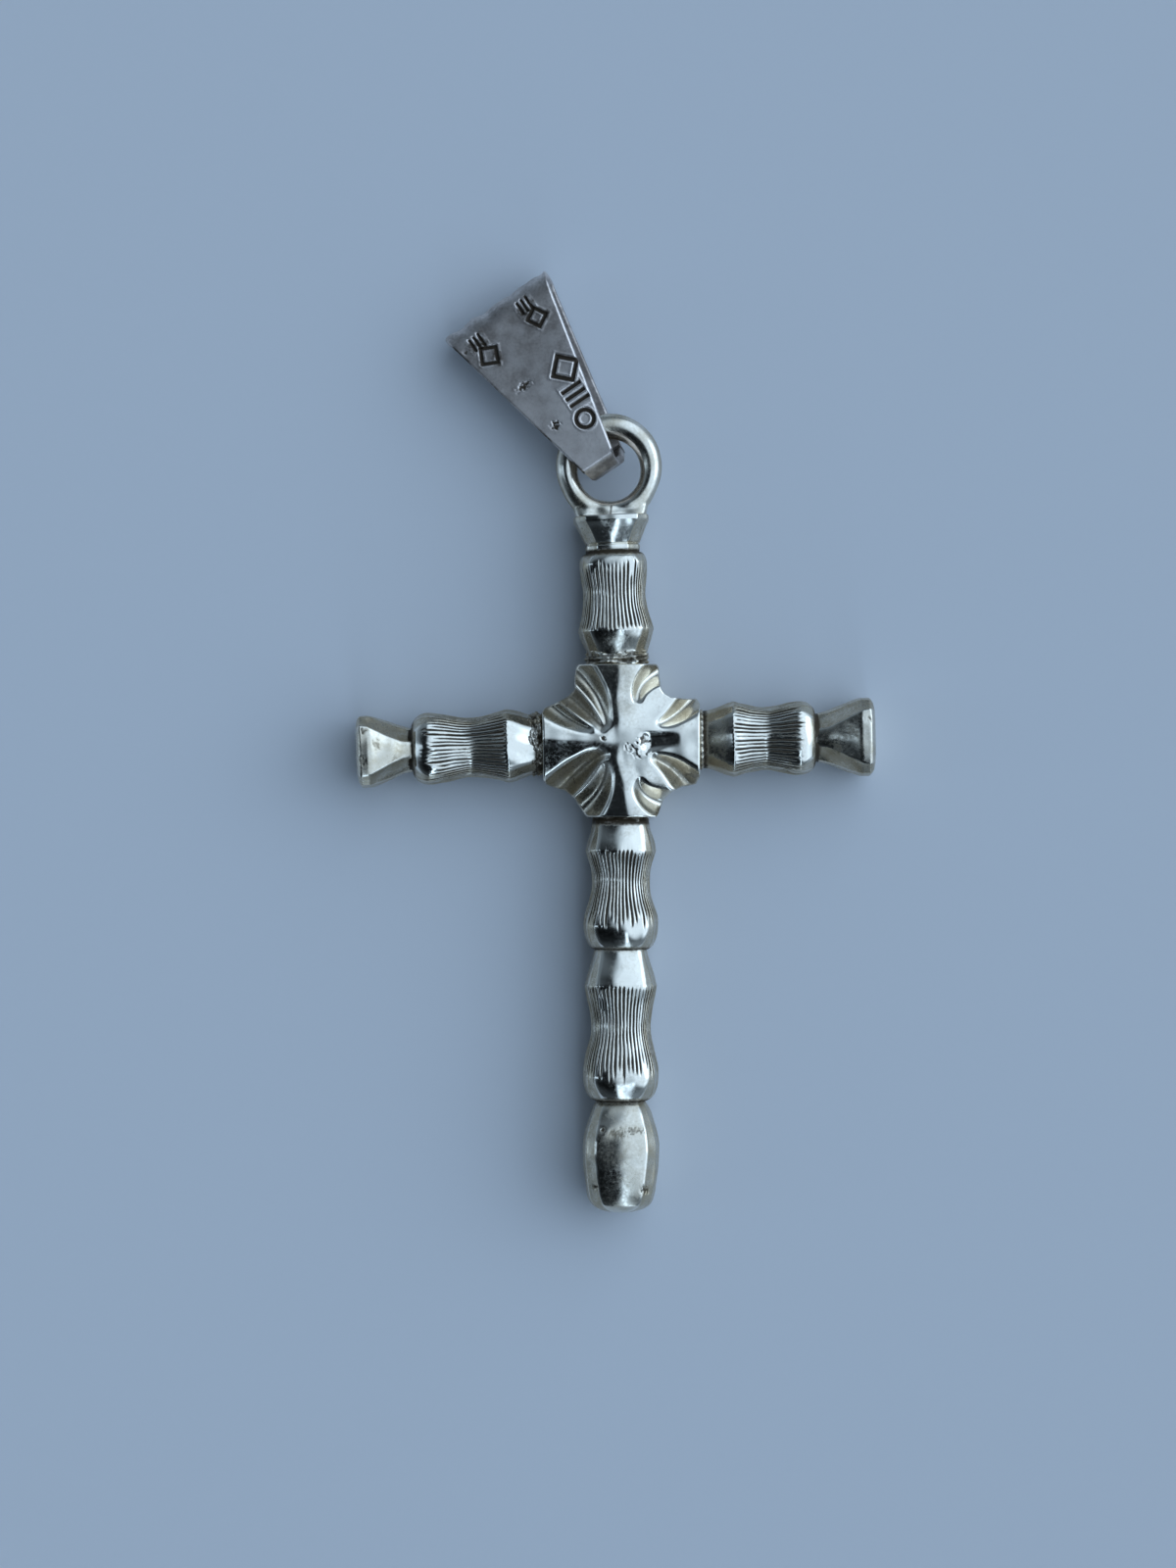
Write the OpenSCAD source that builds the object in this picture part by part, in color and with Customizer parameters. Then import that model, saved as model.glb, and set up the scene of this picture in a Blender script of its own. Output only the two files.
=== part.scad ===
// Cross pendant of barrel-shaped rods round a fluted boss, with a fixed ring and a loose folded bail.
// It lies on its back on z = 0. The boss is centred on the Z axis, +Y runs up the upright to the ring
// and +X to the wearer's left, with +Z out of the front. All sizes are in millimetres, angles in degrees.

/* [Boss] */
// Width of the boss along the crossbar
boss_w = 8; // [7:0.1:10]
// Height of the boss along the upright
boss_h = 7.75; // [7:0.05:10]
// Thickness of the boss from back to front
boss_t = 4; // [4:0.1:5]
// Width of the end face of each arm of the boss
boss_end_w = 4.1; // [3.6:0.1:4.6]
// Depth of the cut across the corners of those end faces
boss_corner_cut = 0.3; // [0.1:0.05:0.5]
// Distance of each filled corner of the boss from both centre lines
boss_corner = 2.45; // [2.2:0.05:2.8]
// Depth of the flutes between the ridges of the boss, where they run out at its rim
flute_depth = 1.05; // [0.6:0.05:1.5]
// Radius of the flutes where they run out at the rim
flute_r = 0.7; // [0.5:0.05:0.9]

/* [Rods] */
// Bevel along the four long edges of every rod
bevel = 0.5; // [0.3:0.05:0.6]
// Length of the soldered root between the boss and each first barrel
root_l = 0.4; // [0.2:0.05:0.8]
// Width of the soldered roots
root_w = 2.75; // [2.4:0.05:3]
// Depth to which each rod is let into the boss
root_sink = 1; // [0.5:0.1:2]

/* [Upper rod] */
// Lean of the upper rod towards the left
upper_lean = 2.5; // [-4:0.1:4]
// Length of the upper barrel
upper_l = 5.3; // [4:0.1:7]
// Width of the upper barrel at its swell beside the boss
upper_inner_w = 3.78; // [3.4:0.02:4]
// Width of the upper barrel at its waist
upper_waist_w = 3.06; // [2.6:0.02:3.3]
// Width of the upper barrel at its outer swell
upper_outer_w = 3.34; // [3.2:0.02:4]
// Length of the neck between the upper barrel and the collar
collar_neck_l = 0.35; // [0.2:0.05:0.6]
// Width of the neck between the upper barrel and the collar
collar_neck_w = 2.66; // [2.4:0.02:2.8]
// Length of the flared collar
collar_l = 1.55; // [1.2:0.05:2]
// Width of the collar at its rim
collar_w = 3.75; // [3.3:0.05:4]

/* [Lower rod] */
// Lean of the lower rod towards the right
lower_lean = 0; // [-4:0.1:4]
// Length of the first lower barrel
lower_l = 6.35; // [5:0.1:8]
// Width of the first lower barrel at its swell beside the boss
lower_inner_w = 3.54; // [3.2:0.02:4]
// Width of the first lower barrel at its waist
lower_waist_w = 2.78; // [2.5:0.02:3.1]
// Width of the first lower barrel at its outer swell
lower_outer_w = 3.68; // [3.2:0.02:4]
// Width of the neck between the two lower barrels
lower_neck_w = 2.46; // [2.2:0.02:2.8]
// Length of the second lower barrel
foot_l = 7.7; // [6:0.1:9]
// Width of the second lower barrel at its inner swell
foot_inner_w = 3.66; // [3.2:0.02:4]
// Width of the second lower barrel at its waist
foot_waist_w = 2.9; // [2.5:0.02:3.1]
// Width of the second lower barrel at its outer swell
foot_outer_w = 3.74; // [3.2:0.02:4]
// Width of the neck above the foot
foot_neck_w = 2.38; // [2.2:0.02:2.8]
// Length of the plain foot
drop_l = 5.65; // [4:0.05:7]
// Width of the plain foot
drop_w = 3.78; // [3.2:0.02:4]

/* [Left rod] */
// Slope of the left rod downwards, away from the boss
left_lean = 2.4; // [-4:0.1:4]
// Length of the left barrel
left_l = 6.25; // [5:0.05:8]
// Width of the left barrel at its swell beside the boss
left_inner_w = 3.7; // [3.2:0.02:4]
// Width of the left barrel at its waist
left_waist_w = 2.9; // [2.5:0.02:3.1]
// Width of the left barrel at its outer swell
left_outer_w = 3.52; // [3.2:0.02:4]
// Width of the neck of the left cap
left_neck_w = 2.04; // [1.8:0.02:2.6]
// Length of the left cap
left_cap_l = 2.8; // [2:0.05:4]
// Width of the left cap
left_cap_w = 3.64; // [3:0.02:4]

/* [Right rod] */
// Slope of the right rod upwards, away from the boss
right_lean = 1; // [-4:0.1:4]
// Length of the right barrel
right_l = 5.5; // [4.5:0.05:8]
// Width of the right barrel at its swell beside the boss
right_inner_w = 3.78; // [3.2:0.02:4]
// Width of the right barrel at its waist
right_waist_w = 3.08; // [2.5:0.02:3.2]
// Width of the right barrel at its outer swell
right_outer_w = 3.66; // [3.2:0.02:4]
// Width of the neck of the right cap
right_neck_w = 2.38; // [1.8:0.02:2.6]
// Length of the right cap
right_cap_l = 3; // [2:0.05:4]
// Width of the right cap
right_cap_w = 3.98; // [3:0.02:4]

/* [Ring] */
// Inner diameter of the ring that is soldered to the collar
ring_id = 3.2; // [3:0.1:4.4]
// Thickness of the wire of the ring
ring_wire = 1.1; // [0.9:0.05:1.3]
// Depth to which the ring is let into the collar
ring_sink = 0.25; // [0.1:0.05:0.4]
// Thickness of the saddle of solder under the ring
saddle_t = 1.6; // [1.3:0.05:2.4]

/* [Bail] */
// Length of the bail from its tip to its crest
bail_l = 10.35; // [8:0.05:13]
// Width of the bail at its crest
bail_crest_w = 6.2; // [5:0.1:8]
// Width of the bail at its tip
bail_tip_w = 1.6; // [1.3:0.05:2.4]
// Thickness of the folded bail at its crest
bail_crest_t = 2.7; // [2.5:0.05:3.2]
// Thickness of the strip that the bail is folded from
strip_t = 0.45; // [0.3:0.05:0.6]
// Distance from the bail's tip to the middle of the ring's wire
bail_hold = 2.3; // [1.9:0.05:3]
// Place of the bail on the ring, turned from the upper rod's line towards the left
bail_at = 37; // [10:1:60]
// Direction of the bail, turned from the upper rod's line towards the left
bail_turn = 31; // [10:1:60]
// Roll of the bail about its length, with its right edge raised
bail_roll = 6; // [0:0.5:8]
// Free play between the ring's wire and each leaf of the bail
bail_play = 0.1; // [0.05:0.05:0.3]

/* [Hidden] */
$fn = 64;

silver = [0.76, 0.77, 0.79];
worn_silver = [0.66, 0.66, 0.71];

// Columns: inner swell, waist and outer swell, as shares of the length of the barrel
upper_at = [0.24, 0.59, 0.9];
lower_at = [0.19, 0.46, 0.81];
foot_at = [0.22, 0.5, 0.84];
left_at = [0.2, 0.52, 0.87];
right_at = [0.22, 0.54, 0.86];

// Place and amount of the widening of the boss's arms, the place as a share of the way to the corner
boss_flare_at = 0.75;
boss_flare = 0.15;
// Where the flutes begin, from both centre lines of the boss, as shares of its size
flute_near = 0.055;
flute_far = 0.125;
// Radius of a flute where it begins, and the rise of its middle line there, as shares of flute_r
flute_start = 0.42;
flute_rise = 0.3;
// Length of a flute's cut, as a share of the way to its mouth
flute_past = 1.3;

// Steps along each half of a waist, and the power that hollows it towards the inner swell
waist_steps = 3;
waist_power = 1.6;
// Width of the rounded shoulder past the outer swell, as a share of that swell
shoulder_share = 0.92;

// Columns: share of the length, share of the full width
COLLAR_ROWS = [[0.01, 0.72], [0.3, 0.795], [0.6, 0.9], [0.88, 1], [1, 0.98]];
CAP_ROWS = [[0.17, 0.64], [0.5, 0.86], [0.75, 1], [0.9, 0.96], [1, 0.74]];
DROP_ROWS = [
    [0.06, 0.73], [0.15, 0.825], [0.25, 0.92], [0.36, 0.985], [0.46, 1],
    [0.6, 0.975], [0.83, 0.885], [0.9, 0.81], [0.957, 0.655], [1, 0.35]
];

// Everything is centred front to back on the thickest piece, which lies on the surface
axis_z = max(
    boss_t, upper_inner_w, upper_outer_w, collar_w, lower_inner_w, lower_outer_w,
    foot_inner_w, foot_outer_w, drop_w, left_inner_w, left_outer_w, left_cap_w,
    right_inner_w, right_outer_w, right_cap_w, ring_wire, saddle_t
) / 2;

upright_start = boss_h / 2 + root_l;
crossbar_start = boss_w / 2 + root_l;

// Half widths of a barrel between its swells, at a share of the way out from its waist
function inner_half(waist_w, swell_w, share) =
    (waist_w + (swell_w - waist_w) * pow(share, waist_power)) / 2;
function outer_half(waist_w, swell_w, share) =
    (waist_w + (swell_w - waist_w) * (1 - cos(180 * share)) / 2) / 2;

// Points [distance along the rod, half width] of a barrel from its inner swell to its shoulder
function barrel(start, length, at, inner_w, waist_w, outer_w) = concat(
    [for (i = [0 : waist_steps - 1])
        let (share = 1 - i / waist_steps)
        [start + length * (at[1] - (at[1] - at[0]) * share), inner_half(waist_w, inner_w, share)]],
    [for (i = [0 : waist_steps])
        let (share = i / waist_steps)
        [start + length * (at[1] + (at[2] - at[1]) * share), outer_half(waist_w, outer_w, share)]],
    [[start + length * (1 + at[2]) / 2, outer_w / 2 * shoulder_share]]
);

// Points of the piece that a table of shares describes
function turned(start, length, width, rows) =
    [for (row = rows) [start + length * row[0], width / 2 * row[1]]];

// Points of the soldered root of a rod, from inside the boss to its first barrel
function root(boss_half, start) = [[boss_half - root_sink, root_w / 2], [start, root_w / 2]];

collar_neck = upright_start + upper_l;
collar_start = collar_neck + collar_neck_l;
collar_end = collar_start + collar_l;
upper_outline = concat(
    root(boss_h / 2, upright_start),
    barrel(upright_start, upper_l, upper_at, upper_inner_w, upper_waist_w, upper_outer_w),
    [[collar_neck, collar_neck_w / 2]],
    turned(collar_start, collar_l, collar_w, COLLAR_ROWS)
);

foot_start = upright_start + lower_l;
drop_start = foot_start + foot_l;
lower_outline = concat(
    root(boss_h / 2, upright_start),
    barrel(upright_start, lower_l, lower_at, lower_inner_w, lower_waist_w, lower_outer_w),
    [[foot_start, lower_neck_w / 2]],
    barrel(foot_start, foot_l, foot_at, foot_inner_w, foot_waist_w, foot_outer_w),
    [[drop_start, foot_neck_w / 2]],
    turned(drop_start, drop_l, drop_w, DROP_ROWS)
);

left_cap_start = crossbar_start + left_l;
left_outline = concat(
    root(boss_w / 2, crossbar_start),
    barrel(crossbar_start, left_l, left_at, left_inner_w, left_waist_w, left_outer_w),
    [[left_cap_start, left_neck_w / 2]],
    turned(left_cap_start, left_cap_l, left_cap_w, CAP_ROWS)
);

right_cap_start = crossbar_start + right_l;
right_outline = concat(
    root(boss_w / 2, crossbar_start),
    barrel(crossbar_start, right_l, right_at, right_inner_w, right_waist_w, right_outer_w),
    [[right_cap_start, right_neck_w / 2]],
    turned(right_cap_start, right_cap_l, right_cap_w, CAP_ROWS)
);

// Directions in which the rods leave the boss, turned from +X
UPPER_DIR = 90 + upper_lean;
LEFT_DIR = 180 + left_lean;
LOWER_DIR = 270 + lower_lean;
RIGHT_DIR = right_lean;

ring_inner_r = ring_id / 2;
ring_outer_r = ring_inner_r + ring_wire;
ring_mean_r = ring_inner_r + ring_wire / 2;
ring_at = collar_end + ring_outer_r - ring_sink;
// Angle from straight down at which the solder leaves the ring, and how far it clears the hole
saddle_angle = 57;
saddle_clear = 0.12;
// Depth to which the solder reaches into the collar, and its width there as a share of the collar's
saddle_sink = 0.3;
saddle_share = 0.9;

// Length of the bevelled nose of the bail
nose_l = 0.62;
// The blunt end of the nose: its depth as a share of nose_l, and its height as a share of the nose's
nose_end = 0.1;
nose_share = 0.4;
// Set-back of the nose's inner corner behind its outer one, as a share of the strip's thickness
nose_back = 0.6;
crest_steps = 10;
crest_r = bail_crest_t / 2;
crest_at = bail_l - crest_r;
taper = (bail_crest_w - bail_tip_w) / 2 / bail_l;
hold_half_w = bail_tip_w / 2 + taper * bail_hold;
// Half thickness of the bail at its tip, which leaves the ring's wire free between the leaves
hold_half_t = ring_wire / 2 + bail_play + hold_half_w * sin(bail_roll) + strip_t;
// Height of the bail's lowest corner above the surface, and the pitch that brings it there
bail_lift = 0.03;
crest_half_w = bail_tip_w / 2 + taper * crest_at;
crest_drop = axis_z - crest_r - crest_half_w * sin(bail_roll) - bail_lift;
bail_pitch = asin(crest_drop / (crest_at - bail_hold));

// Both sides of an outline, drawn in 2D along +X
module both_sides(outline) {
    last = len(outline) - 1;
    polygon(concat(outline, [for (i = [last : -1 : 0]) [outline[i][0], -outline[i][1]]]));
}

// The outline as a slab twice as thick as the pendant, which leaves its cut ends clear of the rod
module slab(outline) {
    linear_extrude(height = 4 * axis_z, center = true) both_sides(outline);
}

// A square rod along +X whose four sides follow one outline, with bevelled long edges
module rod(outline) {
    bevelled = [for (point = outline) [point[0], (2 * point[1] - bevel) / sqrt(2)]];
    intersection() {
        slab(outline);
        rotate([90, 0, 0]) slab(outline);
        rotate([45, 0, 0]) slab(bevelled);
        rotate([-45, 0, 0]) slab(bevelled);
    }
}

module upper_rod() {
    color(silver) rotate(UPPER_DIR) rod(upper_outline);
}

module lower_rod() {
    color(silver) rotate(LOWER_DIR) rod(lower_outline);
}

module left_rod() {
    color(silver) rotate(LEFT_DIR) rod(left_outline);
}

module right_rod() {
    color(silver) rotate(RIGHT_DIR) rod(right_outline);
}

// Points along one edge of an arm of the boss, from its end face to the filled corner:
// [distance from the centre along the arm, distance from the arm's middle line]
function boss_arm(half) = [
    [half, boss_end_w / 2 - boss_corner_cut],
    [half - boss_corner_cut, boss_end_w / 2],
    [half + (boss_corner - half) * boss_flare_at, boss_end_w / 2 + boss_flare]
];
function swapped(points) = [for (point = points) [point[1], point[0]]];

function flipped(points, signs) = [for (point = points) [point[0] * signs[0], point[1] * signs[1]]];
function reversed(points) = [for (i = [len(points) - 1 : -1 : 0]) points[i]];

module boss_outline() {
    quarter = concat(
        boss_arm(boss_w / 2),
        [[boss_corner, boss_corner]],
        reversed(swapped(boss_arm(boss_h / 2)))
    );
    polygon(concat(
        quarter,
        reversed(flipped(quarter, [-1, 1])),
        flipped(quarter, [-1, -1]),
        reversed(flipped(quarter, [1, -1]))
    ));
}

// A tapered flute that runs outwards and downwards from the top of the boss
module flute(from, to) {
    start = [from[0], from[1], boss_t / 2 + flute_rise * flute_r];
    end = [to[0], to[1], boss_t / 2 - flute_depth + flute_r];
    run = end - start;
    start_r = flute_start * flute_r;
    translate(start)
        rotate([0, acos(run[2] / norm(run)), atan2(run[1], run[0])])
            cylinder(
                h = norm(run) * flute_past,
                r1 = start_r,
                r2 = start_r + (flute_r - start_r) * flute_past
            );
}

// Middle of a flute's mouth, between the corner of an arm of the boss and the filled corner
function mouth(half) = [(half + boss_corner) / 2, (boss_end_w / 2 + boss_corner) / 2];

module boss() {
    near = flute_near * min(boss_w, boss_h);
    far = flute_far * min(boss_w, boss_h);
    side_mouth = mouth(boss_w / 2);
    end_mouth = mouth(boss_h / 2);
    color(silver)
        difference() {
            linear_extrude(height = boss_t, center = true) boss_outline();
            for (side = [0, 1], end = [0, 1])
                mirror([side, 0, 0])
                    mirror([0, end, 0]) {
                        flute([far, near], side_mouth);
                        flute([near, far], [end_mouth[1], end_mouth[0]]);
                    }
        }
}

module ring() {
    color(silver)
        rotate(UPPER_DIR)
            translate([ring_at, 0, 0])
                rotate_extrude() translate([ring_mean_r, 0]) circle(d = ring_wire);
}

// The wedge of solder that fills the corners between the ring and the collar
module saddle() {
    top = ring_at - ring_outer_r * cos(saddle_angle);
    color(worn_silver)
        rotate(UPPER_DIR)
            difference() {
                linear_extrude(height = saddle_t, center = true)
                    both_sides([
                        [collar_end - saddle_sink, collar_w / 2 * saddle_share],
                        [top, ring_outer_r * sin(saddle_angle)]
                    ]);
                translate([ring_at, 0, 0])
                    cylinder(h = 2 * saddle_t, r = ring_inner_r + saddle_clear, center = true);
            }
}

module cross() {
    translate([0, 0, axis_z])
        union() {
            boss();
            upper_rod();
            lower_rod();
            left_rod();
            right_rod();
            saddle();
            ring();
        }
}

// Half of the folded strip's side outline, at a depth inside its outer face
function leaf(inset) = concat(
    [
        [inset, 0],
        [inset + nose_end * nose_l, nose_share * (hold_half_t - inset)],
        [nose_l + nose_back * inset, hold_half_t - inset]
    ],
    [for (i = [0 : crest_steps])
        let (angle = 90 - 90 * i / crest_steps)
        [crest_at + (crest_r - inset) * cos(angle), (crest_r - inset) * sin(angle)]]
);

// The strip folded at its crest and joined at its tip, along +X from the tip
module folded_strip() {
    intersection() {
        rotate([90, 0, 0])
            linear_extrude(height = 2 * bail_crest_w, center = true)
                difference() {
                    both_sides(leaf(0));
                    both_sides(leaf(strip_t));
                }
        linear_extrude(height = bail_crest_t + 2 * hold_half_t, center = true)
            both_sides([
                [-strip_t, bail_tip_w / 2 - taper * strip_t],
                [bail_l + strip_t, bail_crest_w / 2 + taper * strip_t]
            ]);
    }
}

module bail() {
    color(worn_silver)
        translate([0, 0, axis_z])
            rotate(UPPER_DIR)
                translate([ring_at, 0, 0])
                    rotate(bail_at)
                        translate([ring_mean_r, 0, 0])
                            rotate(bail_turn - bail_at)
                                rotate([0, bail_pitch, 0])
                                    rotate([-bail_roll, 0, 0])
                                        translate([-bail_hold, 0, 0])
                                            folded_strip();
}

cross();
bail();
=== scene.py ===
"""Looks of a silver cross pendant: engraved rods round a fluted boss, a soldered ring and a folded bail.

Sizes are in millimetres and angles in degrees unless a name says otherwise. The pendant lies on its back
on z = 0, +Y runs up the upright to the ring and +Z comes out of the front.
"""

import logging
import math
from abc import ABC, abstractmethod
from collections.abc import Iterable
from dataclasses import dataclass
from enum import Enum
from functools import reduce
from operator import mul

import bmesh
import bpy
import numpy as np
from mathutils import Matrix, Vector


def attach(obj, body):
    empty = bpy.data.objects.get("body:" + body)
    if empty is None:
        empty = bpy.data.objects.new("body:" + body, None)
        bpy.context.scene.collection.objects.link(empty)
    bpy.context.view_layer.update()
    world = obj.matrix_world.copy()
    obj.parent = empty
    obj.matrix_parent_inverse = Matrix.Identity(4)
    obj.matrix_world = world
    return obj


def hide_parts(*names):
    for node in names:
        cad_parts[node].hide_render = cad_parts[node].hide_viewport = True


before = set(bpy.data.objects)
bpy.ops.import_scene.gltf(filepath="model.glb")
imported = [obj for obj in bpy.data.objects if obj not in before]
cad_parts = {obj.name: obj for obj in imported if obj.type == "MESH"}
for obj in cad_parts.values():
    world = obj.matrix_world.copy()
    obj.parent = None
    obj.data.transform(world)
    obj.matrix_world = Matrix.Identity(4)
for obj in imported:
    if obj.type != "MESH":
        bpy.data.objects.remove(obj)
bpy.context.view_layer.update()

log = logging.getLogger("pendant")

Array = np.ndarray
Colour = tuple[float, float, float]
Point = tuple[float, float]
Range = tuple[float, float]

MM = 0.001
BODY = "root"
FULL_TURN = 2 * math.pi
EIGHTH_TURN = math.pi / 4
SAME_PLACE = 1e-5
NOISE_MIDDLE = 0.5
END_ROWS = (0.0, 0.5, 0.9)


class Mark(Enum):
    """Point attributes that the finishes read."""

    GRIME = "grime"
    RUB = "rub"


class Slot(Enum):
    """Material slots of the record."""

    CROSS = "cross_silver"
    BAIL = "bail_silver"


def eased(value: Array, low: float | Array, high: float | Array) -> Array:
    """A smooth rise from 0 at low to 1 at high, or a fall where high is below low.

    Args:
        value: What rises or falls.
        low: Where the result is 0.
        high: Where the result is 1.

    Returns:
        The smooth share at each value.
    """
    share = np.clip((value - low) / (high - low), 0, 1)
    return share * share * (3 - 2 * share)


def heading(angle: float) -> Point:
    """Cosine and sine of a direction."""
    return math.cos(math.radians(angle)), math.sin(math.radians(angle))


def evened(values: Array, passes: int) -> Array:
    """Smooths a row of values in place and leaves its ends.

    Args:
        values: The row.
        passes: How many times it is smoothed.

    Returns:
        The same row.
    """
    for _ in range(passes):
        values[1:-1] = (values[:-2] + 2 * values[1:-1] + values[2:]) / 4
    return values


def edges_at(verts: Iterable[bmesh.types.BMVert]) -> list[bmesh.types.BMEdge]:
    """Every edge that ends at one of some points, once."""
    return list(dict.fromkeys(edge for vert in verts for edge in vert.link_edges))


def scene_object(name: str, bm: bmesh.types.BMesh) -> bpy.types.Object:
    """Puts a shape into the scene, at the origin.

    Args:
        name: Name of the object and of its mesh.
        bm: The shape, which is freed.

    Returns:
        The object.
    """
    mesh = bpy.data.meshes.new(name)
    bm.to_mesh(mesh)
    bm.free()
    made = bpy.data.objects.new(name, mesh)
    bpy.context.scene.collection.objects.link(made)
    return made


@dataclass(frozen=True)
class Wobble:
    """Smooth unevenness of hand-worked metal, a sum of plane waves in all directions.

    Attributes:
        seed: Start of the random draw.
        length: Typical length of a wave.
        waves: How many waves are added.
        lengths: Shortest and longest wave, as shares of the typical one.
    """

    seed: int
    length: float
    waves: int = 20
    lengths: Range = (0.6, 1.6)

    def at(self, points: Array) -> Array:
        """The unevenness at some points, mostly between -1.5 and 1.5.

        Args:
            points: Places, one row each.

        Returns:
            One number for each place.
        """
        draw = np.random.default_rng(self.seed)
        ways = draw.normal(size=(self.waves, points.shape[1]))
        ways /= np.linalg.norm(ways, axis=1)[:, None]
        turns = FULL_TURN / (self.length * draw.uniform(*self.lengths, self.waves))
        phases = draw.uniform(0, FULL_TURN, self.waves)
        return np.sin(points @ (ways * turns[:, None]).T + phases).sum(axis=1) / math.sqrt(self.waves / 2)


class Value:
    """A number that varies over a surface: a node's socket on which Python's operators add Math nodes."""

    def __init__(self, graph: "Graph", socket: bpy.types.NodeSocket | None) -> None:
        """Keeps the node tree and the socket."""
        self.graph = graph
        self.socket = socket

    def _math(self, operation: str, *terms: "Value | float") -> "Value":
        """A Math node of that operation on those terms."""
        return self.graph.node("ShaderNodeMath", {"operation": operation}, dict(enumerate(terms)))

    def __add__(self, other: "Value | float") -> "Value":
        """Sum."""
        return self._math("ADD", self, other)

    def __radd__(self, other: float) -> "Value":
        """Sum with a number in front."""
        return self._math("ADD", other, self)

    def __sub__(self, other: "Value | float") -> "Value":
        """Difference."""
        return self._math("SUBTRACT", self, other)

    def __rsub__(self, other: float) -> "Value":
        """Difference with a number in front."""
        return self._math("SUBTRACT", other, self)

    def __mul__(self, other: "Value | float") -> "Value":
        """Product."""
        return self._math("MULTIPLY", self, other)

    def __rmul__(self, other: float) -> "Value":
        """Product with a number in front."""
        return self._math("MULTIPLY", other, self)

    def clipped(self) -> "Value":
        """Held between 0 and 1."""
        return self._math("MINIMUM", self._math("MAXIMUM", self, 0.0), 1.0)

    def eased(self, low: float, high: float) -> "Value":
        """A smooth rise from 0 at low to 1 at high, or a fall where high is below low."""
        inputs = {"Value": self, "From Min": low, "From Max": high}
        return self.graph.node("ShaderNodeMapRange", {"interpolation_type": "SMOOTHSTEP"}, inputs)


class Graph:
    """A node tree that is written as Python expressions."""

    def __init__(self, tree: bpy.types.NodeTree) -> None:
        """Empties the tree and keeps it."""
        self.tree = tree
        tree.nodes.clear()

    def node(
        self, kind: str, settings: dict | None = None, inputs: dict | None = None, output: int | str = 0
    ) -> Value:
        """Adds a node.

        Args:
            kind: Type of the node.
            settings: Its own settings, such as a Math node's operation, which are set first.
            inputs: Values or links of its sockets, by name or number.
            output: The socket that the result holds.

        Returns:
            The output as a Value.
        """
        made = self.tree.nodes.new(kind)
        for name, setting in (settings or {}).items():
            setattr(made, name, setting)
        for key, value in (inputs or {}).items():
            if isinstance(value, Value):
                self.tree.links.new(value.socket, made.inputs[key])
            else:
                made.inputs[key].default_value = value
        return Value(self, made.outputs[output] if made.outputs else None)

    def mixed(self, share: Value, low: "Value | Colour", high: "Value | Colour") -> Value:
        """A colour between two others.

        Args:
            share: 0 for the first colour, 1 for the second.
            low: First colour.
            high: Second colour.

        Returns:
            The mixed colour.
        """
        low, high = ((*c, 1.0) if isinstance(c, tuple) else c for c in (low, high))
        return self.node("ShaderNodeMix", {"data_type": "RGBA"}, {0: share, 6: low, 7: high}, 2)

    def noise(self, place: Value, size: float, detail: float = 2.0, stretch: Colour | None = None) -> Value:
        """Soft random patches between 0 and 1.

        Args:
            place: The coordinates, in metres.
            size: Typical size of a patch.
            detail: How many finer layers are added.
            stretch: Scales along the axes, for streaks.

        Returns:
            The noise.
        """
        if stretch is not None:
            place = self.node("ShaderNodeMapping", {}, {"Vector": place, "Scale": stretch})
        inputs = {"Vector": place, "Scale": 1 / (size * MM), "Detail": detail}
        return self.node("ShaderNodeTexNoise", {}, inputs)


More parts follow.
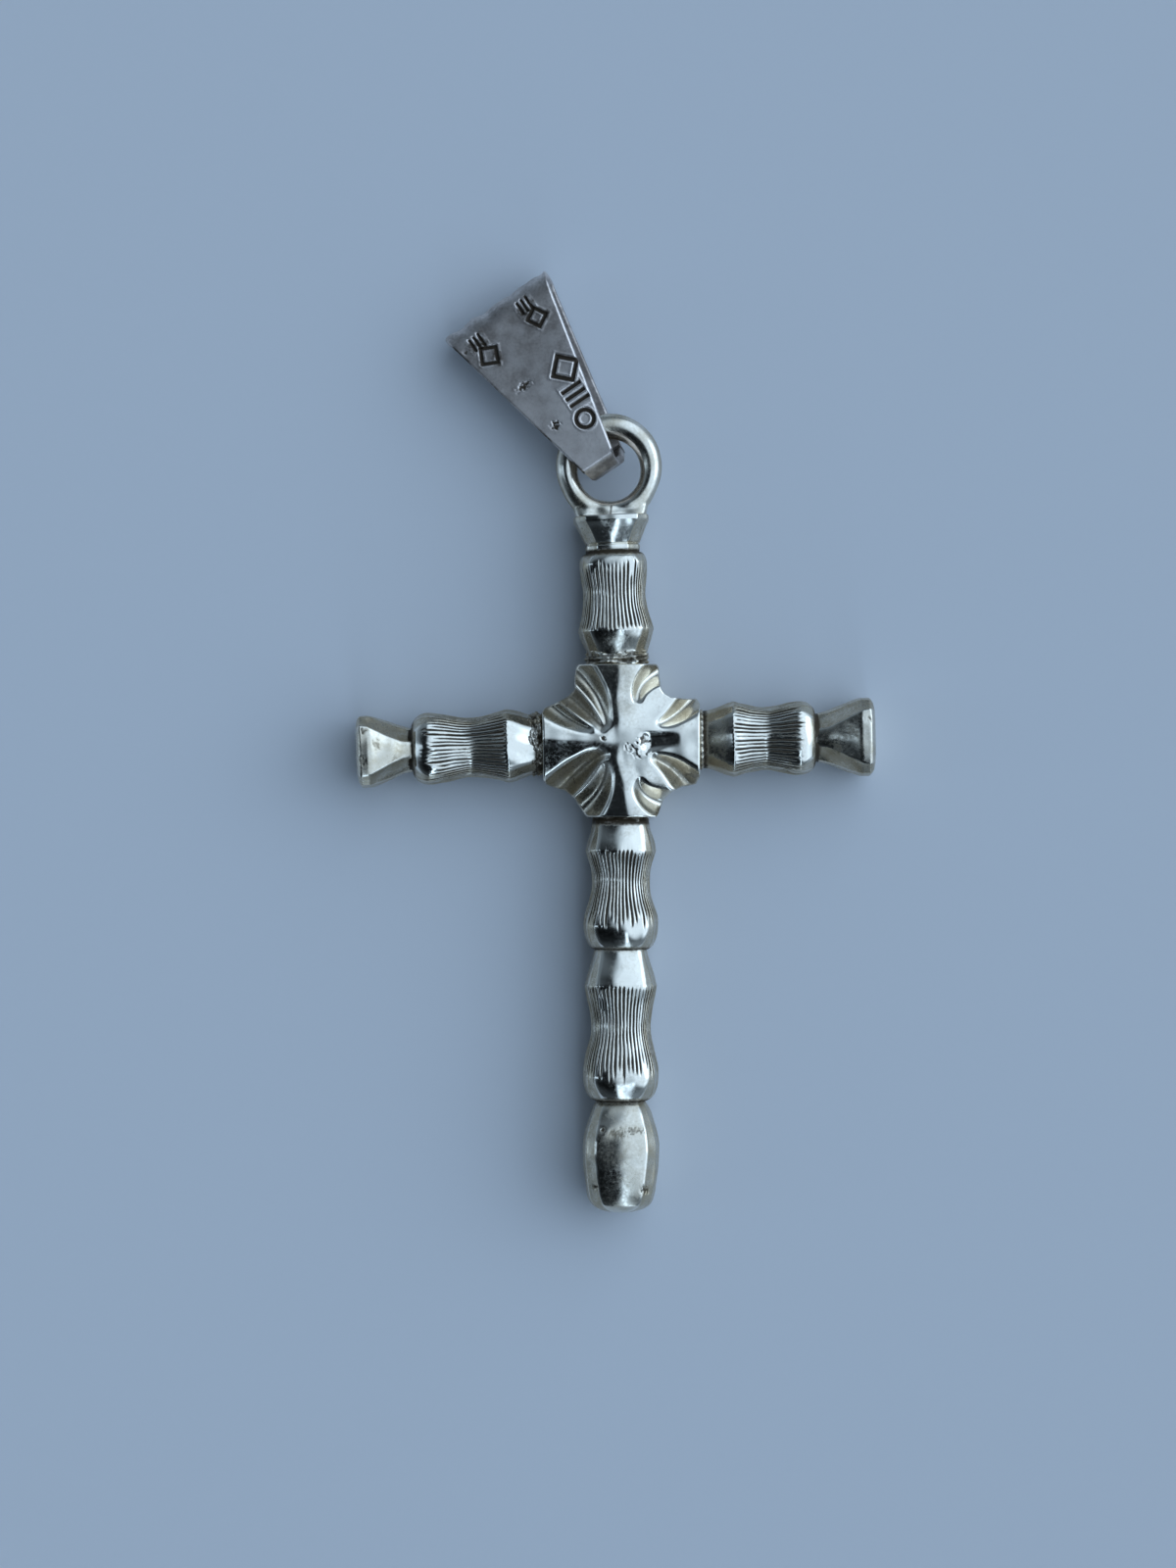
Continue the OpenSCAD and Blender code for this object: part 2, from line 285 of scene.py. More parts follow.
@dataclass(frozen=True)
class Silver:
    """Worn sterling silver: bright where it is rubbed or a highlight is painted, filmed on its sides and
    brown in its recesses or under painted shade.

    Attributes:
        name: Name of the material.
        bright: Colour of the rubbed metal.
        film: Colour of the metal under its thin film of tarnish.
        tarnish: Colour of the crust in the recesses.
        polish: Roughness of the rubbed metal.
        dullness: What the film adds to that roughness.
        cloud: How strongly patches of film show on the rubbed metal.
        scratch: Height of the fine scratches, in metres for one unit of their noise.
        cloud_size: Size of the patches of film.
        speck_size: Size of the specks.
        spot_size: Size of the spots of tarnish.
        streak_length: Length of a fine scratch.
        streak_ratio: How many times longer than wide it is.
        grain_size: Size of the finest grain.
        speckling: Strength of the specks in the film, beside its patches.
        ragged: How far specks break up the crust.
        spot_edge: Noise at which a spot begins, and at which it is whole.
        spot_crust: How much crust a spot adds on filmed metal.
        crust_edge: Amounts of grime at which the crust begins, and at which it is whole.
        grain_height: Height of the grain, in scratches.
        speck_height: Height of the specks, in scratches.
        crust_height: Height of the crust, in scratches.
        crust_roughness: What the crust adds to the roughness.
        speck_roughness: What the specks add to it or take away.
        crust_cover: How much of the metal's gloss the crust hides.
    """

    name: str
    bright: Colour
    film: Colour
    tarnish: Colour
    polish: float
    dullness: float
    cloud: float
    scratch: float
    cloud_size: float = 0.9
    speck_size: float = 0.15
    spot_size: float = 0.32
    streak_length: float = 0.4
    streak_ratio: float = 12.0
    grain_size: float = 0.045
    speckling: float = 0.5
    ragged: float = 0.9
    spot_edge: Range = (0.60, 0.70)
    spot_crust: float = 0.25
    crust_edge: Range = (0.22, 0.8)
    grain_height: float = 1.5
    speck_height: float = 1.2
    crust_height: float = 4.0
    crust_roughness: float = 0.3
    speck_roughness: float = 0.25
    crust_cover: float = 0.7

    def material(self) -> bpy.types.Material:
        """Builds the node tree.

        Returns:
            The material.
        """
        made = bpy.data.materials.new(self.name)
        made.use_nodes = True
        graph = Graph(made.node_tree)
        place = graph.node("ShaderNodeTexCoord", output="Object")
        grime, rub = (
            graph.node("ShaderNodeAttribute", {"attribute_name": mark.value}, output="Fac") for mark in Mark
        )
        clouds = graph.noise(place, self.cloud_size, 4.0) - NOISE_MIDDLE
        specks = graph.noise(place, self.speck_size, 3.0)
        speckle = specks - NOISE_MIDDLE
        spots = graph.noise(place, self.spot_size, 4.0).eased(*self.spot_edge)
        dull = (1 - rub + clouds * self.cloud + speckle * self.cloud * self.speckling).clipped()
        dirt = grime + speckle * self.ragged * grime + spots * dull * self.spot_crust
        crust = dirt.eased(*self.crust_edge)
        metal = graph.mixed(dull, self.bright, self.film)
        colour = graph.mixed(crust, metal, self.tarnish)
        grain = graph.noise(place, self.grain_size)
        streaks, cross_streaks = (
            graph.noise(place, self.streak_length, 3.0, stretch)
            for stretch in ((1.0, self.streak_ratio, 1.0), (self.streak_ratio, 1.0, 1.0))
        )
        fine = streaks + cross_streaks + grain * self.grain_height + specks * self.speck_height
        height = fine * self.scratch + crust * self.scratch * self.crust_height
        roughness = self.polish + dull * self.dullness
        roughness = roughness + crust * self.crust_roughness + speckle * self.speck_roughness
        bump = {"Strength": 1.0, "Distance": MM, "Height": height}
        inputs = {
            "Base Color": colour,
            "Roughness": roughness.clipped(),
            "Metallic": 1 - crust * self.crust_cover,
            "Normal": graph.node("ShaderNodeBump", {}, bump, "Normal"),
        }
        shader = graph.node("ShaderNodeBsdfPrincipled", {}, inputs)
        graph.node("ShaderNodeOutputMaterial", {}, {"Surface": shader})
        return made


POLISHED = Silver(
    name="worn_silver", bright=(0.90, 0.86, 0.765), film=(0.43, 0.36, 0.245), tarnish=(0.05, 0.036, 0.02),
    polish=0.12, dullness=0.24, cloud=0.95, scratch=0.00012,
)
RUBBED = Silver(
    name="rubbed_silver", bright=(0.84, 0.78, 0.745), film=(0.32, 0.285, 0.265), tarnish=(0.045, 0.032, 0.02),
    polish=0.42, dullness=0.06, cloud=1.8, scratch=0.0003,
)


@dataclass
class Surface:
    """The points of a mesh while it is worked, with what the finish reads at each of them.

    Attributes:
        points: Places, one row each.
        grime: How much crust lies there, from 0 to 1, with one patch of painted shade on the boss.
        rub: How bright the metal is there, from 0 to 1: rubbed metal, and a painted highlight on the bail's
            right rim.
    """

    points: Array
    grime: Array
    rub: Array


class Piece(ABC):
    """One closed mesh of the pendant, worked from a blank."""

    name: str
    seed: int
    node: str = "cross"
    slot: Slot = Slot.CROSS

    @abstractmethod
    def blank(self) -> bmesh.types.BMesh:
        """The closed blank that the piece is worked from."""

    @abstractmethod
    def work(self, blank: Array) -> Surface:
        """The finished surface, from the points of the blank."""

    def uneven(self, draw: int, length: float, points: Array, waves: int = 20) -> Array:
        """One of the piece's own random unevennesses.

        Args:
            draw: Number of the draw, counted from the piece's seed.
            length: Typical length of a wave.
            points: Places, one row each.
            waves: How many waves are added.

        Returns:
            One number for each place, mostly between -1.5 and 1.5.
        """
        return Wobble(self.seed + draw, length, waves).at(points)

    def build(self, material: bpy.types.Material) -> bpy.types.Object:
        """Makes the piece, dresses it and ties it to the frame.

        Args:
            material: The finish.

        Returns:
            The object.
        """
        made = scene_object(self.name, self.blank())
        mesh = made.data
        raw = np.empty(len(mesh.vertices) * 3, np.float32)
        mesh.vertices.foreach_get("co", raw)
        surface = self.work(raw.reshape(-1, 3).astype(float))
        mesh.vertices.foreach_set("co", (surface.points * MM).astype(np.float32).ravel())
        for mark, values in ((Mark.GRIME, surface.grime), (Mark.RUB, surface.rub)):
            held = mesh.attributes.new(mark.value, "FLOAT", "POINT")
            held.data.foreach_set("value", np.clip(values, 0, 1).astype(np.float32))
        turned = bmesh.new()
        turned.from_mesh(mesh)
        bmesh.ops.recalc_face_normals(turned, faces=turned.faces)
        turned.to_mesh(mesh)
        turned.free()
        mesh.shade_smooth()
        mesh.materials.append(material)
        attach(made, BODY)
        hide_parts(self.node)
        log.info("%s: %d faces", self.name, len(mesh.polygons))
        return made


def spun(profile: list[Point], steps: int) -> bmesh.types.BMesh:
    """Turns a profile about the X axis, one eighth first and then by doubling, which is far quicker.

    Args:
        profile: Points along the axis and out from it. The first and last lie on the axis.
        steps: How many steps a full turn takes, a multiple of 8.

    Returns:
        The closed shape.
    """
    bm = bmesh.new()
    verts = [bm.verts.new((along, out, 0.0)) for along, out in profile]
    edges = [bm.edges.new(pair) for pair in zip(verts, verts[1:])]
    bmesh.ops.spin(
        bm, geom=verts + edges, cent=(0, 0, 0), axis=(1, 0, 0), angle=EIGHTH_TURN, steps=steps // 8
    )
    for eighths in (1, 2, 4):
        copied = bmesh.ops.duplicate(bm, geom=bm.verts[:] + bm.edges[:] + bm.faces[:])["geom"]
        turned = [part for part in copied if isinstance(part, bmesh.types.BMVert)]
        bmesh.ops.rotate(
            bm, verts=turned, cent=(0, 0, 0), matrix=Matrix.Rotation(EIGHTH_TURN * eighths, 3, "X")
        )
    bmesh.ops.remove_doubles(bm, verts=bm.verts, dist=SAME_PLACE)
    bmesh.ops.recalc_face_normals(bm, faces=bm.faces)
    return bm


@dataclass(frozen=True)
class Line:
    """The middle line of a rod, which leaves the centre of the boss.

    Attributes:
        angle: Its direction, from +X.
        height: Its height over the surface that the pendant lies on.
    """

    angle: float
    height: float = 2.0

    def placed(self, along: Array, across: Array, up: Array) -> Array:
        """Points of the pendant.

        Args:
            along: Distances along the line.
            across: Distances to the left of it.
            up: Heights over it.

        Returns:
            The places, one row each.
        """
        cos, sin = heading(self.angle)
        return np.column_stack([along * cos - across * sin, along * sin + across * cos, self.height + up])


@dataclass(frozen=True)
class Dent:
    """A pit or dent in a front face.

    Attributes:
        along: Its distance from the start of its piece's line, along that line.
        across: Its distance to the left of that line.
        size: Its radius.
        depth: Its depth.
        grime: How dark it is.
        stretch: How many times longer it is across than along.
        ragged: How far its outline strays.
        bank: Where its bank begins and where it is full depth, as shares of the radius.
    """

    along: float
    across: float
    size: float
    depth: float
    grime: float = 0.8
    stretch: float = 1.0
    ragged: float = 0.25
    bank: Range = (1.0, 0.3)

    def share(self, along: Array, across: Array, jitter: Array) -> Array:
        """How far each point lies in the dent, from 0 outside it to 1 in its middle."""
        far = np.hypot((along - self.along), (across - self.across) / self.stretch) / self.size
        return eased(far + self.ragged * jitter, *self.bank)


def dented(
    dents: Iterable[Dent], place: tuple[Array, Array], jitter: Array, front: Array | float,
    lift: Array, grime: Array,
) -> tuple[Array, Array]:
    """Sinks dents into a front and dirties them.

    Args:
        dents: The dents.
        place: Distances along and across at each point.
        jitter: Unevenness of the dents' outlines there.
        front: How far the point belongs to the front, from 0 to 1.
        lift: Height over the smooth surface there.
        grime: Grime there.

    Returns:
        The new heights and the new grime.
    """
    for dent in dents:
        share = dent.share(*place, jitter) * front
        lift = lift - dent.depth * share
        grime = np.maximum(grime, dent.grime * share)
    return lift, grime


@dataclass
class Turned(Piece):
    """A piece that is turned about a rod's line and then filed square with bevelled long edges.

    Attributes:
        name: Name of the piece.
        line: The rod's line.
        steps: Steps round the piece.
        edge: Radius of the long edges between its flats and bevels.
        crown: How far the flats bulge, as a share of the half width.
        unevenness: Height of the hand-worked unevenness.
        seed: Start of the random draws.
        dents: Pits and dents of the front.
        clean_end: Whether its outer end carries no grime.
        shine: How brightly its front is rubbed.
        zones: Shares of the mesh's columns up to the long edges and past them, or None for even columns.
        edge_limits: Widest long edge, as shares of the bevel and of the flat beside it.
        core: Half widths up to which nothing is worked, and from which all is.
        bump_length: Length of the unevenness.
        jitter_length: Length of the wander in the outlines of dents.
        front_from: Heights over the line between which the front begins, for dents.
        facing_up: Sines of the slopes between which the rubbed front begins.
        leaning: How squarely an edge stands between flat and bevel, where its wear begins and is whole.
        side_rub: How brightly its sides are rubbed.
        edge_rub: How much brighter its long edges are.
        end_rub: How brightly its outer end is rubbed.
        seam_reach: Distances from a joint at which its grime begins, and at which it is full.
        seam_dirt: How dark the joints are.
        grime_cover: How much of the shine grime hides.
    """

    name: str
    line: Line
    steps: int = 256
    edge: float = 0.1
    crown: float = 0.03
    unevenness: float = 0.012
    seed: int = 1
    dents: tuple[Dent, ...] = ()
    clean_end: bool = False
    shine: float = 0.85
    zones: Range | None = None
    edge_limits: Range = (1.5, 2.2)
    core: Range = (0.3, 0.9)
    bump_length: float = 1.3
    jitter_length: float = 0.12
    front_from: Range = (0.2, 0.8)
    facing_up: Range = (0.59, 0.95)
    leaning: Range = (0.4, 0.9)
    side_rub: float = 0.15
    edge_rub: float = 0.35
    end_rub: float = 0.3
    seam_reach: Range = (0.5, 0.1)
    seam_dirt: float = 0.9
    grime_cover: float = 0.6

    @abstractmethod
    def rows(self) -> list[Point]:
        """Distances along the line and half widths there, from the inner end to the outer one."""

    @abstractmethod
    def bevel(self, along: Array) -> Array:
        """Width of the bevels as a share of the half width."""

    def blank(self) -> bmesh.types.BMesh:
        """The rows turned round, closed at both ends by flat discs with rows of their own.

        Returns:
            The blank.
        """
        rows = self.rows()
        inner, outer = (
            [(along, half * share) for share in END_ROWS] for along, half in (rows[0], rows[-1])
        )
        return spun(inner + rows + outer[::-1], self.steps)

    def rounding(self, along: Array) -> Array:
        """Radius of the long edges between the flats and the bevels."""
        return np.full_like(along, self.edge)

    def section(self, turn: Array, half: Array, bevel: Array, edge: Array) -> tuple[Array, Array, Array]:
        """Squares the round section.

        Args:
            turn: Share of the way round, from the left side over the front.
            half: Half width of the section.
            bevel: Width of its bevels.
            edge: Radius of its long edges.

        Returns:
            Distances across and up, and the angle of the outward normal in radians.
        """
        octant = np.floor(turn * 8).astype(int)
        side = np.where(octant % 2 == 0, 1.0, -1.0)
        share = np.where(octant % 2 == 0, turn * 8 - octant, octant + 1 - turn * 8)
        of_bevel, of_flat = self.edge_limits
        edge = np.minimum(edge, np.minimum(of_bevel * bevel, of_flat * (half - bevel))) + 1e-9
        flat_run = half - bevel - (math.sqrt(2) - 1) * edge
        edge_run = edge * math.pi / 4
        bevel_run = (bevel - (2 - math.sqrt(2)) * edge) / math.sqrt(2)
        full_run = flat_run + edge_run + bevel_run
        run = share * full_run
        if self.zones is not None:
            low, high = self.zones
            on_edge = flat_run + (share - low) / (high - low) * edge_run
            past_edge = full_run - (1 - share) / (1 - high) * bevel_run
            run = np.select([share < low, share < high], [share / low * flat_run, on_edge], past_edge)
        turned = np.clip((run - flat_run) / edge, 0, EIGHTH_TURN)
        past = np.maximum(run - flat_run - edge_run, 0) / math.sqrt(2)
        sideways = side * (np.minimum(run, flat_run) + edge * np.sin(turned) + past)
        outwards = half - edge * (1 - np.cos(turned)) - past
        rest = np.maximum(full_run - flat_run, 1e-6)
        level = 1 - np.clip((run - flat_run) / rest, 0, 1)
        flat_share = np.minimum(run / flat_run, 1)
        bulge = self.crown * half * (0.5 - flat_share ** 2 - 2 * rest / (3 * flat_run) * (1 - level ** 3))
        sideways += side * bulge * np.sin(turned)
        outwards += bulge * np.cos(turned)
        lean = 2 * self.crown * half / flat_run * flat_share * level ** 2
        quarter = ((octant + 1) // 2) * math.pi / 2
        across = outwards * np.cos(quarter) - sideways * np.sin(quarter)
        up = outwards * np.sin(quarter) + sideways * np.cos(quarter)
        return across, up, quarter + side * (turned + lean)

    def ring(self, along: Array, turn: Array, spread: float) -> Array:
        """Coordinates round the piece, on which unevenness has no seam."""
        angle = FULL_TURN * turn
        return np.column_stack([np.cos(angle) * spread, np.sin(angle) * spread, along])

    def carved(self, along: Array, turn: Array) -> tuple[Array, Array]:
        """Depth of what is cut into the piece, and the grime there."""
        return np.zeros_like(along), np.zeros_like(along)

    def waver(self, along: Array, turn: Array) -> Array:
        """How far points wander round the section, as a share of a full turn."""
        return np.zeros_like(along)

    def wear(self, along: Array) -> Array:
        """Share of its shine that is left along the piece."""
        return np.ones_like(along)

    def seam_grime(self, along: Array) -> Array:
        """Grime next to the joints at the ends of the piece.

        Args:
            along: Distances along the line.

        Returns:
            The grime.
        """
        rows = self.rows()
        near = along - rows[0][0]
        if not self.clean_end:
            near = np.minimum(near, rows[-1][0] - along)
        return self.seam_dirt * eased(near, *self.seam_reach)

    def work(self, blank: Array) -> Surface:
        """Files the blank square, then engraves, dents and dirties it.

        Args:
            blank: Points of the blank.

        Returns:
            The finished surface.
        """
        along, half = blank[:, 0], np.hypot(blank[:, 1], blank[:, 2])
        turn = np.mod(np.arctan2(blank[:, 2], blank[:, 1]) / FULL_TURN, 1)
        shifted = np.mod(turn + self.waver(along, turn), 1)
        across, up, angle = self.section(shifted, half, half * self.bevel(along), self.rounding(along))
        place = np.column_stack([along, across, up])
        depth, grime = self.carved(along, turn)
        outside = eased(half, *self.core)
        lift = (self.uneven(0, self.bump_length, place) * self.unevenness - depth) * outside
        grime = np.maximum(grime, self.seam_grime(along))
        leaning = np.abs(np.mod(angle / EIGHTH_TURN + 0.5, 1) - 0.5) * 2
        rub = self.side_rub + self.shine * eased(np.sin(angle), *self.facing_up)
        rub += self.edge_rub * eased(leaning, *self.leaning) * outside
        on_end = along > self.rows()[-1][0] - 1e-6
        rub = np.where(on_end, self.end_rub, rub * self.wear(along))
        jitter = self.uneven(1, self.jitter_length, place)
        front = eased(up, *self.front_from)
        lift, grime = dented(self.dents, (along, across), jitter, front, lift, grime)
        across += lift * np.cos(angle)
        up += lift * np.sin(angle)
        return Surface(self.line.placed(along, across, up), grime, rub * (1 - self.grime_cover * grime))


@dataclass
class Barrel(Turned):
    """A waisted barrel with engraved lines between its two swells.

    Attributes:
        start: Where it begins, from the centre of the boss.
        length: Its length.
        swells_at: Places of its inner swell, waist and outer swell, as shares of the length.
        root_width: Width where it begins.
        inner_width: Width of the inner swell.
        waist_width: Width of the waist.
        outer_width: Width of the outer swell.
        neck_width: Width where it ends.
        root_bevel: Bevel where it begins, as a share of the half width there.
        bevels: The same at the inner swell, waist, outer swell and end.
        edges: Radius of the long edges at all five places.
        root_wear: Share of the shine that is left on the inner facets.
        wear_reach: Length over which that share changes, before the inner swell.
        lines: How many lines are engraved round it.
        line_depth: Their depth.
        line_dirt: How dark they are, for their depth.
        valley: How narrow their bottoms are, from 1 for an even wave.
        stray: How far a line strays from even spacing, in line widths.
        wander: How far it wanders along its way, as a share of a full turn.
        stray_in: Past the inner swell, where lines begin to stray and where they do so fully.
        stray_out: Past the outer swell, where they have stopped and where they still do so fully.
        depths: Shallowest and deepest line, for the line depth.
        inner_ends: Where lines begin, past the inner swell.
        outer_ends: Where lines end, past the outer swell.
        inner_fade: Where a line begins to sink and where it is full, past its inner end.
        outer_fade: Where a line is gone and where it is still full, past its outer end.
        line_wear: Middle and swing of how much of a line's depth wear has left.
        line_wear_limits: Least and most that it has left.
        buried: How far its root reaches into the piece before it.
        counts: Rows on its facets, in its hollow, on its rise and on its shoulder.
        facet_power: How straight the inner facets rise, 1 for straight.
        hollow_power: How quickly the hollow falls from the inner swell.
        softening: How many times its outline is smoothed.
        tail: How far its neck reaches into the piece after it.
    """

    start: float = 4.275
    length: float = 6.0
    swells_at: tuple[float, float, float] = (0.2, 0.5, 0.85)
    root_width: float = 2.75
    inner_width: float = 3.7
    waist_width: float = 2.9
    outer_width: float = 3.6
    neck_width: float = 2.4
    root_bevel: float = 0.38
    bevels: tuple[float, float, float, float] = (0.27, 0.30, 0.25, 0.36)
    edges: tuple[float, float, float, float, float] = (0.5, 0.45, 0.7, 0.5, 0.4)
    root_wear: float = 1.0
    wear_reach: float = 0.35
    lines: int = 60
    line_depth: float = 0.055
    line_dirt: float = 1.75
    valley: float = 1.8
    stray: float = 0.12
    wander: float = 0.0006
    stray_in: Range = (-0.1, 0.4)
    stray_out: Range = (0.5, -0.1)
    depths: Range = (0.45, 1.25)
    inner_ends: Range = (-0.02, 0.2)
    outer_ends: Range = (-0.5, 0.35)
    inner_fade: Range = (-0.05, 0.3)
    outer_fade: Range = (0.15, -0.7)
    line_wear: Range = (0.9, 0.2)
    line_wear_limits: Range = (0.4, 1.2)
    buried: float = 0.3
    counts: tuple[int, int, int, int] = (8, 29, 25, 15)
    facet_power: float = 1.15
    hollow_power: float = 1.6
    softening: int = 7
    tail: float = 0.15
    steps: int = 480
    crown: float = 0.08

    def places(self) -> tuple[float, float, float, float]:
        """Distances of the inner swell, waist, outer swell and end from the centre of the boss."""
        ridge, waist, swell = (self.start + share * self.length for share in self.swells_at)
        return ridge, waist, swell, self.start + self.length

    def rows(self) -> list[Point]:
        """The inner facets, the hollow waist and the rounded shoulder.

        Returns:
            Distances along the line and half widths there.
        """
        ridge, waist, swell, end = self.places()
        on_facet, in_hollow, on_rise, on_shoulder = self.counts
        facet = np.linspace(self.start - self.buried, ridge, on_facet, endpoint=False)
        hollow = ridge + (waist - ridge) * np.linspace(0, 1, in_hollow, endpoint=False)
        rise = waist + (swell - waist) * np.linspace(0, 1, on_rise, endpoint=False)
        shoulder = swell + (end - swell) * np.sin(np.linspace(0, math.pi / 2, on_shoulder))
        along = np.concatenate([facet, hollow, rise, shoulder])
        share = np.clip((along - self.start) / (ridge - self.start), 0, 1)
        facets = self.root_width + (self.inner_width - self.root_width) * share ** self.facet_power
        fall = np.clip((waist - along) / (waist - ridge), 0, 1) ** self.hollow_power
        hollows = self.waist_width + (self.inner_width - self.waist_width) * fall
        climb = (1 - np.cos(math.pi * np.clip((along - waist) / (swell - waist), 0, 1))) / 2
        rises = self.waist_width + (self.outer_width - self.waist_width) * climb
        drop = np.sqrt(np.clip(1 - ((along - swell) / (end - swell)) ** 2, 0, 1))
        shoulders = self.neck_width + (self.outer_width - self.neck_width) * drop
        widths = np.select([along < ridge, along < waist, along < swell], [facets, hollows, rises], shoulders)
        widths = evened(widths, self.softening)
        tail = [(end + self.tail, self.neck_width / 2)]
        return list(zip(along.tolist(), (widths / 2).tolist())) + tail

    def bevel(self, along: Array) -> Array:
        """Wide at the root and narrow on the swells."""
        return np.interp(along, [self.start, *self.places()], [self.root_bevel, *self.bevels])

    def rounding(self, along: Array) -> Array:
        """Crisp on the inner facets, soft on the hollow and on the outer swell."""
        return np.interp(along, [self.start, *self.places()], self.edges)

    def wear(self, along: Array) -> Array:
        """The inner facets keep less of the shine."""
        ridge = self.places()[0]
        return self.root_wear + (1 - self.root_wear) * eased(along, ridge - self.wear_reach, ridge)

    def waver(self, along: Array, turn: Array) -> Array:
        """The lines stray a little from even spacing and wander, as a hand graver does.

        Args:
            along: Distances along the line.
            turn: Shares of the way round.

        Returns:
            How far points wander, as a share of a full turn.
        """
        ridge, _, swell, _ = self.places()
        stray = np.random.default_rng(self.seed + 4).uniform(-self.stray, self.stray, self.lines) / self.lines
        strayed = np.interp(turn * self.lines, np.arange(self.lines) + 0.5, stray, period=self.lines)
        wander = self.uneven(5, 1.3, self.ring(along, turn, 3.0)) * self.wander
        engraved = eased(along, *(ridge + past for past in self.stray_in))
        engraved *= eased(along, *(swell + past for past in self.stray_out))
        return (strayed + wander) * engraved

    def carved(self, along: Array, turn: Array) -> tuple[Array, Array]:
        """Grooves that run from the sharp inner swell and fade on the round outer one.

        Args:
            along: Distances along the line.
            turn: Shares of the way round.

        Returns:
            Depth of the grooves, and the grime in them.
        """
        ridge, _, swell, _ = self.places()
        phase = turn * self.lines
        number = np.floor(phase).astype(int) % self.lines
        draw = np.random.default_rng(self.seed + 9)
        depths = draw.uniform(*self.depths, self.lines)[number]
        first = ridge + draw.uniform(*self.inner_ends, self.lines)[number]
        last = swell + draw.uniform(*self.outer_ends, self.lines)[number]
        valley = (0.5 - 0.5 * np.cos(FULL_TURN * phase)) ** self.valley
        sinking = eased(along, *(first + past for past in self.inner_fade))
        kept = sinking * eased(along, *(last + past for past in self.outer_fade))
        middle, swing = self.line_wear
        worn = middle + swing * self.uneven(7, 1.1, self.ring(along, turn, 1.8))
        groove = valley * kept * depths * np.clip(worn, *self.line_wear_limits)
        return groove * self.line_depth, self.line_dirt * groove


@dataclass
class Profile(Turned):
    """A plain end piece whose rows are given as a table.

    Attributes:
        start: Where its table begins, from the centre of the boss.
        length: Its length.
        width: Its full width.
        table: Columns: share of the length, share of the width, bevel as a share of the half width.
        fine: Rows between two lines of the table.
    """

    start: float = 0.0
    length: float = 1.0
    width: float = 1.0
    table: tuple[tuple[float, float, float], ...] = ()
    fine: int = 7
    edge: float = 0.25
    crown: float = 0.05
    clean_end: bool = True
    zones: Range | None = (0.55, 0.8)

    def rows(self) -> list[Point]:
        """The table's rows with smooth ones between them.

        Returns:
            Distances along the line and half widths there.
        """
        shares, widths, _ = (np.array(column) for column in zip(*self.table))
        dense = np.linspace(0, len(shares) - 1, (len(shares) - 1) * self.fine + 1)
        along = self.start + self.length * self.through(shares, dense)
        half = self.width / 2 * self.through(widths, dense)
        return list(zip(along.tolist(), half.tolist()))

    @staticmethod
    def through(values: Array, wanted: Array) -> Array:
        """A smooth curve through some values, which never overshoots them.

        Args:
            values: The values, which stand one apart from 0 on.
            wanted: Where the curve is read.

        Returns:
            The curve there.
        """
        steps = np.diff(values)
        slopes = np.zeros_like(values, dtype=float)
        same_way = steps[:-1] * steps[1:] > 0
        before, after = steps[:-1][same_way], steps[1:][same_way]
        slopes[1:-1][same_way] = 2 * before * after / (before + after)
        slopes[0], slopes[-1] = steps[0], steps[-1]
        low = np.clip(np.floor(wanted).astype(int), 0, len(values) - 2)
        t = wanted - low
        return (values[low] * (1 + 2 * t) * (1 - t) ** 2 + values[low + 1] * t ** 2 * (3 - 2 * t)
                + slopes[low] * t * (1 - t) ** 2 - slopes[low + 1] * t ** 2 * (1 - t))

    def bevel(self, along: Array) -> Array:
        """The table's bevels."""
        shares, _, bevels = (np.array(column) for column in zip(*self.table))
        return np.interp(along, self.start + self.length * shares, bevels)


